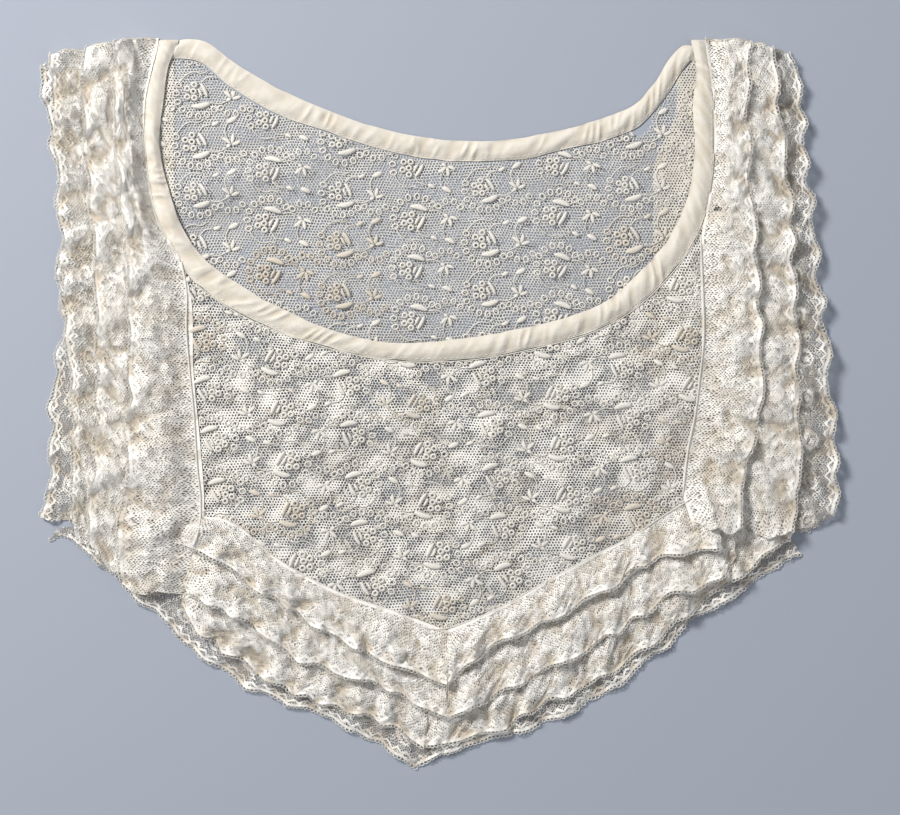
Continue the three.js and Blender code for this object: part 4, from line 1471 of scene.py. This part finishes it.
def strand(
    path: Points, half_width: Points | float, half_height: Points | float, sides: int,
    closed: bool = False,
) -> Shape:
    """A round or flattened thread along a line.

    Args:
        path: Points of the line, each with two or three coordinates.
        half_width: Half the thread's width, one value or one for each point.
        half_height: Half its height, likewise.
        sides: Faces round it.
        closed: Whether the line ends where it starts.

    Returns:
        The closed shape, mapped along its length.
    """
    line = np.zeros((len(path), 3))
    line[:, :np.shape(path)[1]] = path
    count = len(line)
    ahead = np.roll(line, -1, 0) - np.roll(line, 1, 0) if closed else np.gradient(line, axis=0)
    ahead /= np.linalg.norm(ahead, axis=1, keepdims=True)
    across = np.stack([-ahead[:, 1], ahead[:, 0], 0 * ahead[:, 0]], 1)
    angles = np.arange(sides) * TAU / sides
    width = np.broadcast_to(half_width, count)[:, None, None]
    height = np.broadcast_to(half_height, count)[:, None, None]
    up = np.array([0.0, 0.0, 1.0])
    rings = line[:, None] + width * np.cos(angles)[None, :, None] * across[:, None]
    rings = rings + height * np.sin(angles)[None, :, None] * up
    lengths = np.linalg.norm(np.diff(line, axis=0, append=line[:1]), axis=1)
    arc = np.concatenate([[0.0], np.cumsum(lengths)])
    girth = float(np.max(half_width)) * TAU / sides
    shape = Shape([tuple(point) for point in rings.reshape(-1, 3)])
    for i in range(count if closed else count - 1):
        after = (i + 1) % count
        for j in range(sides):
            beside = (j + 1) % sides
            corners = ((i, j), (i, beside), (after, beside), (after, j))
            shape.faces.append(tuple(ring * sides + side for ring, side in corners))
            low, high = girth * j, girth * (j + 1)
            shape.places += [(arc[i], low), (arc[i], high), (arc[i + 1], high), (arc[i + 1], low)]
    if not closed:
        for i, order in ((0, range(sides - 1, -1, -1)), (count - 1, range(sides))):
            shape.faces.append(tuple(i * sides + j for j in order))
            shape.places += [(arc[i], 0.0)] * sides
    return shape


def curve_through(knots: Sequence[tuple[float, float]], count: int) -> Points:
    """Evenly spaced points of a smooth line."""
    return Line(knots, 8).at(np.linspace(0, 1, count))


def spindle(count: int, fullness: float = 0.6) -> Points:
    """Shares of the full width along a leaf or bar of padded stitches, tapered at both ends."""
    return np.maximum(np.sin(math.pi * np.linspace(0.02, 0.98, count)) ** fullness, 0.12)


@dataclass(frozen=True)
class Flower:
    """One embroidered flower with its wreath of rings, its spray and its buds.

    A turned flower has its leaf above it. A mirrored one is seen from the other side of the net.
    """

    turned: bool
    mirrored: bool
    eyelets: tuple[tuple[float, float], ...] = (
        (-4.6, 2.3), (-1.5, 4.4), (-4.3, -1.5), (-1.0, -1.7), (-1.7, 1.3))
    wreath_radius: float = 10.2
    wreath: tuple[float, float, int] = (158.0, 322.0, 8)

    def place(self, points: Sequence[tuple[float, float]] | Points) -> Points:
        """Turns and mirrors the points of one line."""
        signs = np.array([-1.0 if self.mirrored else 1.0, -1.0 if self.turned else 1.0])
        return np.array(points, float) * signs

    def ring(
        self, centre: tuple[float, float], size: tuple[float, float], lean: float, thick: float,
        rise: float,
    ) -> Shape:
        """An oval ring of thread.

        Args:
            centre: Its middle.
            size: Its half length and half width, to the middle of the thread.
            lean: Angle of its length in degrees.
            thick: Half the width of the worked thread.
            rise: Half its height.

        Returns:
            The ring.
        """
        steps = np.arange(10) * TAU / 10
        turn = math.radians(lean)
        oval = np.stack([size[0] * np.cos(steps), size[1] * np.sin(steps)], 1)
        cosine, sine = math.cos(turn), math.sin(turn)
        spun = oval @ np.array([[cosine, sine], [-sine, cosine]])
        return strand(self.place(spun + np.array(centre)), thick, rise, 4, True)

    def satin(
        self, knots: Sequence[tuple[float, float]], half_width: float, fullness: float,
        padding: float = 0.8,
    ) -> Shape:
        """A padded leaf, bar or bud of satin stitch."""
        taper = spindle(8, fullness)
        path = self.place(curve_through(knots, 8))
        return strand(path, half_width * taper, min(half_width, 0.75) * padding * taper, 6)

    def stem(self, knots: Sequence[tuple[float, float]]) -> Shape:
        """A thin line of stitches."""
        return strand(self.place(curve_through(knots, 9)), 0.36, 0.22, 3)

    def shape(self) -> Shape:
        """The whole motif, about the middle of its eyelets."""
        whole = Shape()
        for centre in self.eyelets:
            whole.add(self.ring(centre, (1.12, 1.05), 0.0, 0.58, 0.5), 0.3)
        whole.add(self.satin([(1.4, 5.3), (3.4, 2.4), (4.9, -0.9)], 0.95, 0.35), 0.25)
        whole.add(self.satin([(0.6, 2.9), (1.4, 1.0), (2.5, -0.7)], 0.7, 0.4), 0.25)
        whole.add(self.satin([(-1.7, -5.7), (2.4, -5.2), (6.6, -3.5)], 1.45, 0.5), 0.25)
        first, last, count = self.wreath
        for step in range(count):
            angle = math.radians(first + (last - first) * step / (count - 1))
            across, up = (self.wreath_radius * part for part in (math.cos(angle), math.sin(angle)))
            centre = (across + 0.6, up)
            whole.add(self.ring(centre, (1.45, 1.15), math.degrees(angle), 0.45, 0.22))
        for lean, length in ((8.0, 4.6), (66.0, 5.0), (128.0, 5.2), (196.0, 2.4)):
            turn = math.radians(lean)
            steps = []
            for reach in (0.1, 0.55, 1.0):
                bent = turn + 0.2 * reach
                along, aside = (reach * length * part for part in (math.cos(bent), math.sin(bent)))
                steps.append((16.2 + along, -0.6 + aside))
            whole.add(self.satin(steps, 0.95, 0.6, 0.35))
        whole.add(self.satin([(14.6, 9.6), (16.8, 10.6), (19.2, 11.9)], 1.35, 0.6))
        whole.add(self.satin([(7.6, 8.7), (9.3, 9.2), (11.0, 10.2)], 1.0, 0.6))
        whole.add(self.stem([(6.8, -3.2), (10.5, -3.6), (13.6, -2.2), (16.2, -0.6)]))
        whole.add(self.stem([(16.2, -0.6), (14.2, 3.0), (13.6, 6.4), (14.9, 9.5)]))
        for angle in (-2.5, -1.85, -1.2, -0.55):
            centre = (16.6 + 6.3 * math.cos(angle), -1.6 + 6.3 * math.sin(angle))
            whole.add(self.ring(centre, (1.4, 1.1), math.degrees(angle), 0.42, 0.22))
        whole.add(self.stem([(1.6, 5.6), (3.8, 8.2), (7.4, 8.8)]))
        whole.add(self.stem([(-8.9, 4.4), (-6.2, 8.2), (-2.2, 10.6), (1.4, 9.8), (4.4, 11.6)]))
        return whole


class Scatter:
    """Repeats a small shape at many places with Geometry Nodes, and can drop it onto a cloth."""

    def __init__(
        self, name: str, material: bpy.types.Material, cloth: bpy.types.Object | None
    ) -> None:
        """Builds the tree.

        Args:
            name: The tree's name.
            material: Finish of what it makes.
            cloth: The sheet that the shapes are dropped onto, or nothing where they stay in place.
        """
        self.name = name
        self.tree = bpy.data.node_groups.new(name, "GeometryNodeTree")
        for label, kind in (
            ("Places", "NodeSocketGeometry"),
            ("Motif", "NodeSocketObject"),
            ("Smallest", "NodeSocketFloat"),
            ("Largest", "NodeSocketFloat"),
            ("Lift", "NodeSocketFloat"),
        ):
            self.tree.interface.new_socket(label, in_out="INPUT", socket_type=kind)
        self.tree.interface.new_socket("Work", in_out="OUTPUT", socket_type="NodeSocketGeometry")
        g = Graph(self.tree)
        given = g.node("NodeGroupInput").outputs
        motif = g.node("GeometryNodeObjectInfo", None, {"Object": given["Motif"]})
        turn = g.node(
            "GeometryNodeInputNamedAttribute", {"data_type": "FLOAT_VECTOR"}, {"Name": TURN_NAME})
        size = g.node(
            "FunctionNodeRandomValue", {"data_type": "FLOAT"},
            {"Min": given["Smallest"], "Max": given["Largest"], "Seed": 5})
        copies = g.node("GeometryNodeInstanceOnPoints", None, {
            "Points": given["Places"], "Instance": motif.outputs["Geometry"],
            "Rotation": turn.outputs["Attribute"], "Scale": g.pick(size.outputs, "Value"),
        })
        copied = copies.outputs["Instances"]
        work = g.node("GeometryNodeRealizeInstances", None, {"Geometry": copied})
        made = work.outputs["Geometry"]
        if cloth is not None:
            made = self._dropped(g, made, cloth, given["Lift"])
        dressed = g.node("GeometryNodeSetMaterial", None, {"Geometry": made, "Material": material})
        g.node("NodeGroupOutput", None, {"Work": dressed.outputs["Geometry"]})

    @staticmethod
    def _dropped(
        g: Graph, made: bpy.types.NodeSocket, cloth: bpy.types.Object, lift: bpy.types.NodeSocket
    ) -> bpy.types.NodeSocket:
        """Drops the points straight down onto the cloth and removes those that miss it."""
        target = g.node("GeometryNodeObjectInfo", None, {"Object": cloth})
        position = g.node("GeometryNodeInputPosition").outputs[0]
        split = g.node("ShaderNodeSeparateXYZ", None, {"Vector": position})
        plan = {"X": split.outputs["X"], "Y": split.outputs["Y"]}
        high = g.node("ShaderNodeCombineXYZ", None, {**plan, "Z": RAY_HEIGHT * MM})
        ray = g.node("GeometryNodeRaycast", None, {
            "Target Geometry": target.outputs["Geometry"], "Source Position": high.outputs[0],
            "Ray Direction": (0.0, 0.0, -1.0), "Ray Length": 1.0,
        })
        ground = g.node("ShaderNodeSeparateXYZ", None, {"Vector": ray.outputs["Hit Position"]})
        level = Value(g, ground.outputs["Z"]) + Value(g, split.outputs["Z"]) + Value(g, lift)
        place = g.node("ShaderNodeCombineXYZ", None, {**plan, "Z": level})
        missed = g.node("FunctionNodeBooleanMath", {"operation": "NOT"}, {0: ray.outputs["Is Hit"]})
        kept = g.node("GeometryNodeDeleteGeometry", {"domain": "POINT"}, {
            "Geometry": made, "Selection": missed.outputs[0]})
        moved = g.node("GeometryNodeSetPosition", None, {
            "Geometry": kept.outputs["Geometry"], "Position": place.outputs[0]})
        return moved.outputs["Geometry"]

    def run(
        self, places: Points, turns: Points, motif: Shape, sizes: tuple[float, float], lift: float,
        stains: Points | None = None,
    ) -> bpy.types.Mesh:
        """Makes the repeats.

        Args:
            places: Points, in millimetres.
            turns: Angle of each copy about the vertical, in radians.
            motif: The shape to repeat.
            sizes: Smallest and largest size of a copy, against the motif's own.
            lift: Height of each copy over the cloth, in millimetres.
            stains: How stained each copy is.

        Returns:
            A plain mesh.
        """
        mesh = bpy.data.meshes.new(f"{self.name}_places")
        mesh.from_pydata((places * MM).tolist(), [], [])
        angles = mesh.attributes.new(TURN_NAME, "FLOAT_VECTOR", "POINT")
        angles.data.foreach_set("vector", np.stack([turns * 0, turns * 0, turns], 1).ravel())
        stain = mesh.attributes.new(STAIN_NAME, "FLOAT", "POINT")
        stain.data.foreach_set("value", np.zeros(len(places)) if stains is None else stains)
        host, model = link(mesh), motif.build(f"{self.name}_motif")
        modifier = host.modifiers.new("repeat", "NODES")
        modifier.node_group = self.tree
        settings = {"Motif": model, "Smallest": sizes[0], "Largest": sizes[1], "Lift": lift * MM}
        for item in self.tree.interface.items_tree:
            if item.in_out == "INPUT" and item.name in settings:
                modifier[item.identifier] = settings[item.name]
        graph = bpy.context.evaluated_depsgraph_get()
        made = bpy.data.meshes.new_from_object(host.evaluated_get(graph), depsgraph=graph)
        host.modifiers.clear()
        for spare in (host, model):
            bpy.data.objects.remove(spare)
        return made


def joined(
    name: str, meshes: Sequence[bpy.types.Mesh], material: bpy.types.Material
) -> bpy.types.Object:
    """Joins meshes into one piece that rides on the collar.

    Args:
        name: The piece's name.
        meshes: What it is made of.
        material: Its finish.

    Returns:
        The piece.
    """
    bench = bmesh.new()
    for mesh in meshes:
        bench.from_mesh(mesh)
    whole = bpy.data.meshes.new(name)
    bench.to_mesh(whole)
    bench.free()
    whole.materials.append(material)
    whole.polygons.foreach_set("material_index", np.zeros(len(whole.polygons), np.int32))
    whole.polygons.foreach_set("use_smooth", np.ones(len(whole.polygons), bool))
    piece = link(whole)
    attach(piece, BODY)
    Cloth.report(piece)
    return piece


@dataclass
class Embroidery:
    """The flowers of one panel, in columns that drop by half a repeat in turn, in millimetres."""

    JITTER = 0.7
    TURN = 0.09
    STAINED_SHARE = 0.22
    STAIN = (0.4, 1.0)
    FAINT_STAIN = 0.04
    SIZES = (0.94, 1.05)
    LIFT = 0.2

    name: str
    cloth: bpy.types.Object
    covers: BVHTree
    mirrored: bool
    first_turned: bool
    origin: tuple[float, float]
    column: float
    row: float
    climb: float
    lean: float
    seed: int
    reach: float = 9.0

    def places(self) -> list[tuple[float, float, bool]]:
        """Middle of each flower that shows, and whether its leaf is above it."""
        found = []
        for k in range(-6, 7):
            for j in range(-9, 10):
                x0 = self.origin[0] + self.column * k
                drop = self.row * (j + 0.5 * (k % 2))
                y = self.origin[1] + self.climb * (x0 - self.origin[0]) + drop
                x = x0 + self.lean * (y - self.origin[1])
                if self._shows(x, y):
                    found.append((x, y, bool(k % 2) != self.first_turned))
        return found

    def _shows(self, x: float, y: float) -> bool:
        """Whether any part of a flower there lies on the cloth with nothing close over it."""
        for dx, dy in ((0, 0), (1, 0), (-1, 0), (0, 1), (0, -1), (2, 0.6), (-2, 0.6)):
            start = Vector((x + dx * self.reach, y + dy * self.reach, RAY_HEIGHT))
            down = Vector((0, 0, -1.0))
            under = self.cloth.ray_cast(start * MM, down)
            if under[0] and self.covers.ray_cast(start, down)[0] is None:
                return True
        return False

    def build(self, material: bpy.types.Material) -> bpy.types.Object:
        """Makes the panel's flowers."""
        rng = np.random.default_rng(self.seed)
        scatter = Scatter(self.name, material, self.cloth)
        meshes = []
        for turned in (False, True):
            spots = np.array([(x, y, 0.0) for x, y, leaf_up in self.places() if leaf_up == turned])
            spots[:, :2] += rng.uniform(-self.JITTER, self.JITTER, (len(spots), 2))
            turns = rng.uniform(-self.TURN, self.TURN, len(spots))
            stained = rng.random(len(spots)) < self.STAINED_SHARE
            stains = np.where(stained, rng.uniform(*self.STAIN, len(spots)), self.FAINT_STAIN)
            motif = Flower(turned, self.mirrored).shape()
            meshes.append(scatter.run(spots, turns, motif, self.SIZES, self.LIFT, stains))
        return joined(self.name, meshes, material)


# Sizes are shares of the motif's own, smallest and largest. Lengths are in millimetres.
PICOT_SIZES = (0.8, 1.25)
PICOT_ROOT = 0.45
PICOT_LOWEST = 0.4
STITCH_SIZES = (0.85, 1.1)
STITCH_LIFT = 0.05
STITCH_SLANT = 0.12
STITCH_LOOK = 0.003
CORD_POINTS = 1.0
CORD_SUNK = 0.8


def picot(reach: float = 1.5, width: float = 0.78, thick: float = 0.23) -> Shape:
    """One loop of thread that stands out from a free edge."""
    angles = np.linspace(-0.15 * math.pi, 1.15 * math.pi, 7)
    ahead = reach * 0.5 * (1 + np.sin(angles)) - PICOT_ROOT
    loop = np.stack([width * np.cos(angles), ahead], 1)
    return strand(loop, thick, thick, 4)


def edge_loops(
    edges: Sequence[tuple[Points, Points]], material: bpy.types.Material, pitch: float = 1.95
) -> bpy.types.Object:
    """The picots along every free edge.

    Args:
        edges: For each strip, the line of its free edge and a line just inside it.
        material: Their finish.
        pitch: Distance from one picot to the next, in millimetres.

    Returns:
        The piece.
    """
    places, turns = [], []
    for edge, inside in edges:
        arc = np.concatenate([[0.0], np.cumsum(np.linalg.norm(np.diff(edge, axis=0), axis=1))])
        steps = np.arange(pitch / 2, arc[-1], pitch)
        at = np.stack([np.interp(steps, arc, edge[:, axis]) for axis in range(3)], 1)
        within = np.stack([np.interp(steps, arc, inside[:, axis]) for axis in range(3)], 1)
        out = at - within
        at[:, 2] = np.maximum(at[:, 2], PICOT_LOWEST)
        places.append(at)
        turns.append(np.arctan2(-out[:, 0], out[:, 1]))
    scatter = Scatter("picots", material, None)
    made = scatter.run(np.vstack(places), np.concatenate(turns), picot(), PICOT_SIZES, 0.0)
    return joined("picot_edges", [made], material)


def stitches(
    stack: Stack, lines: Sequence[Line], offsets: Sequence[float], material: bpy.types.Material,
    pitch: float = 2.7,
) -> bpy.types.Object:
    """Running stitches along the binding's sewn edge.

    Args:
        stack: The finished sheets that they lie on.
        lines: The edges that they follow.
        offsets: How far each row lies to the right of its edge, in millimetres.
        material: Their finish.
        pitch: Distance from one stitch to the next.

    Returns:
        The piece.
    """
    middle = np.array([(-0.85, 0), (-0.3, 0), (0.3, 0), (0.85, 0)])
    motif = strand(middle, 0.16 * spindle(4), 0.14, 4)
    places, turns = [], []
    for line, offset in zip(lines, offsets):
        shares = np.arange(pitch / 2, line.length, pitch) / line.length
        plan = line.beside(shares, offset) + np.array(FRAME_SHIFT)
        ahead = line.at(np.minimum(shares + STITCH_LOOK, 1))
        ahead = ahead - line.at(np.maximum(shares - STITCH_LOOK, 0))
        places.append(np.column_stack([plan, stack.ground(plan) + STITCH_LIFT]))
        turns.append(np.arctan2(ahead[:, 1], ahead[:, 0]) + STITCH_SLANT)
    scatter = Scatter("stitches", material, None)
    made = scatter.run(np.vstack(places), np.concatenate(turns), motif, STITCH_SIZES, 0.0)
    return joined("binding_stitches", [made], material)


def seam_cords(
    stack: Stack, routes: Sequence[Sequence[tuple[float, float]]], radius: float,
    material: bpy.types.Material, name: str,
) -> bpy.types.Object:
    """Thin cords sewn over the seams, which lie on whatever cloth is under them.

    Args:
        stack: The finished sheets.
        routes: Plan points of each cord, in the frame's millimetres.
        radius: Half a cord's thickness.
        material: Their finish.
        name: The piece's name.

    Returns:
        The piece.
    """
    whole = Shape()
    for route in routes:
        line = Line(route)
        shares = np.linspace(0, 1, int(line.length / CORD_POINTS))
        plan = line.at(shares)
        level = blur(stack.ground(plan)[:, None], 1.5, 0)[:, 0] + radius * CORD_SUNK
        whole.add(strand(np.column_stack([plan, level]), radius, radius, 6))
    piece = whole.build(name, material)
    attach(piece, BODY)
    Cloth.report(piece)
    return piece


# ---- Camera, light and floor ----
@dataclass(frozen=True)
class Studio:
    """The view from straight above, the soft light and the floor.

    Lengths are in metres, apart from the sensor's, which is in millimetres. Powers are in watts.
    """

    frame_width: float = 0.423
    centre: tuple[float, float] = (0.0053, -0.0026)
    distance: float = 1.25
    sensor: float = 36.0
    key_power: float = 32.0
    fill_power: float = 3.0
    sky: Colour = (0.95, 0.97, 1.0)
    sky_strength: float = 0.26
    floor_reach: float = 3.0

    def build(self) -> None:
        """Sets the camera, the lights and the floor."""
        bpy.context.scene.view_settings.view_transform = "Standard"
        self._camera()
        self._light("key", (-0.98, 0.86, 1.12), 0.42, self.key_power, (1.0, 0.975, 0.935))
        self._light("fill", (0.9, -0.7, 1.1), 1.2, self.fill_power, (0.93, 0.96, 1.0))
        world = bpy.data.worlds.new("soft_sky")
        world.use_nodes = True
        background = world.node_tree.nodes["Background"]
        background.inputs["Color"].default_value = (*self.sky, 1.0)
        background.inputs["Strength"].default_value = self.sky_strength
        bpy.context.scene.world = world
        self._floor()

    def _camera(self) -> None:
        """A long lens that looks straight down."""
        data = bpy.data.cameras.new("overhead")
        data.sensor_width = self.sensor
        data.lens = self.sensor * self.distance / self.frame_width
        camera = bpy.data.objects.new("overhead", data)
        camera.location = (*self.centre, self.distance)
        bpy.context.scene.collection.objects.link(camera)
        bpy.context.scene.camera = camera

    def _light(
        self, name: str, place: tuple[float, float, float], size: float, power: float,
        colour: Colour,
    ) -> None:
        """An area light that faces the collar."""
        data = bpy.data.lights.new(name, "AREA")
        data.size = size
        data.energy = power
        data.color = colour
        light = bpy.data.objects.new(name, data)
        light.location = place
        light.rotation_euler = (-Vector(place)).to_track_quat("-Z", "Y").to_euler()
        bpy.context.scene.collection.objects.link(light)

    def _floor(self) -> None:
        """A plain floor just under the collar."""
        half = self.floor_reach
        mesh = bpy.data.meshes.new("floor")
        corners = [(-half, -half, 0), (half, -half, 0), (half, half, 0), (-half, half, 0)]
        mesh.from_pydata(corners, [], [(0, 1, 2, 3)])
        mesh.uv_layers.new(name=UV_NAME)
        mesh.materials.append(FloorFinish().build())
        link(mesh)


# ---- Creases of the panels ----
FRONT_CREASES = [Crease(*row) for row in (
    (29, 17, 58, -4, -0.45, 5), (58, -4, 72, -13, -0.45, 5), (43, -32, 34, -84, -0.45, 5),
    (76, -46, 95, -48, -0.45, 4), (95, -48, 107, -37, -0.45, 4), (107, -37, 109, -18, -0.4, 4),
    (10, -8, 29, -20, 1.0, 6), (-103, -22, -88, -48, -0.4, 6), (-60, 8, -20, -12, 0.8, 5),
    (-84, -10, -60, -30, 0.7, 5), (-30, -60, 10, -80, 0.7, 6), (60, -50, 70, -85, 0.8, 5),
    (118, 70, 124, 20, 0.8, 5), (-50, -40, -20, -46, 0.6, 5),
)]
BACK_CREASES = [Crease(*row) for row in (
    (-122, 97, -50, 118, 0.9, 6), (-111, 83, -52, 90, -0.4, 6), (0, 100, 60, 70, 0.6, 7),
    (60, 112, 100, 96, 0.8, 6), (-40, 60, 10, 46, 0.6, 6), (20, 60, 70, 52, 0.5, 6),
)]


def neck_with_rip(shares: Points) -> Points:
    """The back panel's neck edge, which sags away from the binding along one short frayed rip."""
    seam = Line(BACK_NECK_SEAM)
    x = seam.at(shares)[:, 0]
    fall = smoothstep(x, RIP_FROM, RIP_FROM + RIP_SHOULDER)
    fall = fall * (1 - smoothstep(x, RIP_TO - RIP_SHOULDER, RIP_TO))
    frayed = fall * (0.82 + 0.2 * soft_noise(x / 1.1, x * 0, 71))
    frayed = frayed * (1 - 0.25 * smoothstep(x, RIP_FROM, RIP_TO))
    return seam.beside(shares, SEAM_GAP + RIP_DEPTH * frayed)


def front_neck(shares: Points) -> Points:
    """The front panel's neck edge, which stops short of the shoulder folds."""
    seam = Line(FRONT_NECK_SEAM)
    return seam.beside(SHOULDER_SHARE + shares * (1 - 2 * SHOULDER_SHARE), SEAM_GAP)


# ---- Sewing over the seams: each cord's radius, and the routes in the frame's millimetres ----
SIDE_CORD = 0.42
HEM_CORD = 0.34
NECK_CORD = 0.24
NECK_CORD_RUN = (0.17, 0.8)
NECK_CORD_AWAY = 0.75
STITCHES_AWAY = -0.9
SIDE_CORDS = [
    [(-120.7, 65.7), (-118.3, 52.6), (-118.3, 33.8), (-116.9, 15), (-115, -4), (-113.1, -32),
     (-111.7, -46), (-112.2, -60.2), (-114.5, -67.3)],
    [(122.8, 78.4), (124.2, 31.4), (123.3, 20.6), (120, -6.2), (116.7, -23.6), (114.3, -44.2)],
    [(-114.6, -67.0), (-114.2, -69.3), (-112.1, -70.9), (-108.9, -71.4)],
]
HEM_CORDS = [
    [(-100.5, -54.6), (-91, -60.2), (-84, -67.3), (-74.6, -74.3), (-65.2, -80), (-55.8, -85),
     (-46.4, -89.4), (-32.3, -94.5), (-18.2, -99.2), (-12.6, -103.5), (-4.1, -106.3), (3, -106.3),
     (14.7, -102.5), (28.8, -96.4), (42.9, -88.4), (57, -80.4), (75.8, -70.5), (89.9, -63.5),
     (105.4, -53.2), (117.1, -46.1)],
]


def main() -> None:
    """Builds the collar's looks in order."""
    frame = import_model()
    Studio().build()
    stack = Stack(frame["nodes"])
    back_net = NetFinish(
        "back_net", hole=0.4, slack=0.15, tears=BACK_TEARS, doubled=BACK_DOUBLED_AND_SHADED).build()
    # The front net's thread is painted lighter than the back net's, though they are the same net:
    # painted light on the upper layer.
    front_net = NetFinish("front_net", hole=0.36, thread=(0.95, 0.93, 0.885), slack=0.75).build()
    binding = BindingFinish().build()
    edges: list[tuple[Points, Points]] = []

    def strips(cuts: Sequence[RuffleCut]) -> None:
        """Dresses some of the gathered strips."""
        for cut in cuts:
            strip = Ruffle(stack, cut, seed=100 + 10 * RUFFLES.index(cut))
            tears = LACE_TEARS.get(cut.name, ())
            finish = LaceFinish(f"lace_finish_{cut.name}", strip.width, cut.sheer, tears=tears)
            strip.dress(finish.build(), edges)

    back_panel = Panel(
        stack, "back_panel", BACK_SIDES, neck_with_rip, BACK_CREASES, folded=False, seed=11)
    back = back_panel.dress(back_net)
    back_open = [BACK_TAILS[0][0], *BACK_NECK_OPEN, BACK_TAILS[1][0]]
    back_seam = [BACK_TAILS[0][1], *BACK_NECK_SEAM, BACK_TAILS[1][1]]
    Binding(stack, "neck_binding_back", back_open, back_seam, folded=False, seed=31).dress(binding)
    strips(RUFFLES[:BACK_RUFFLES])
    front_panel = Panel(
        stack, "front_panel", FRONT_SIDES, front_neck, FRONT_CREASES, folded=True, seed=23)
    front = front_panel.dress(front_net)
    front_binding = Binding(
        stack, "neck_binding_front", FRONT_NECK_OPEN, FRONT_NECK_SEAM, folded=True, seed=37)
    front_binding.dress(binding)
    strips(RUFFLES[BACK_RUFFLES:])

    covers = stack.cover({"back_panel", "front_panel"})
    thread = ThreadFinish("embroidery_thread").build()
    Embroidery(
        "embroidery_back", back, covers, mirrored=False, first_turned=True, origin=(-12.1, 86.7),
        column=33.9, row=24.0, climb=0.02, lean=0.0, seed=3).build(thread)
    Embroidery(
        "embroidery_front", front, covers, mirrored=True, first_turned=False, origin=(-9.8, -1.0),
        column=32.4, row=23.7, climb=0.055, lean=-0.12, seed=4).build(thread)
    white = ThreadFinish("lace_thread", clean=(0.93, 0.915, 0.875)).build()
    edge_loops(edges, white)
    stitches(stack, [Line(FRONT_NECK_SEAM), Line(BACK_NECK_SEAM)], [STITCHES_AWAY] * 2, thread)
    seam_cords(stack, SIDE_CORDS, SIDE_CORD, white, "side_seam_cords")
    seam_cords(stack, HEM_CORDS, HEM_CORD, white, "hem_seam_cords")
    neck = Line(FRONT_NECK_SEAM).beside(np.linspace(*NECK_CORD_RUN, 60), NECK_CORD_AWAY)
    seam_cords(stack, [neck + np.array(FRAME_SHIFT)], NECK_CORD, thread, "neck_seam_cord")


if __name__ == "__main__":
    logging.basicConfig(level=logging.INFO, format="%(message)s")
    main()
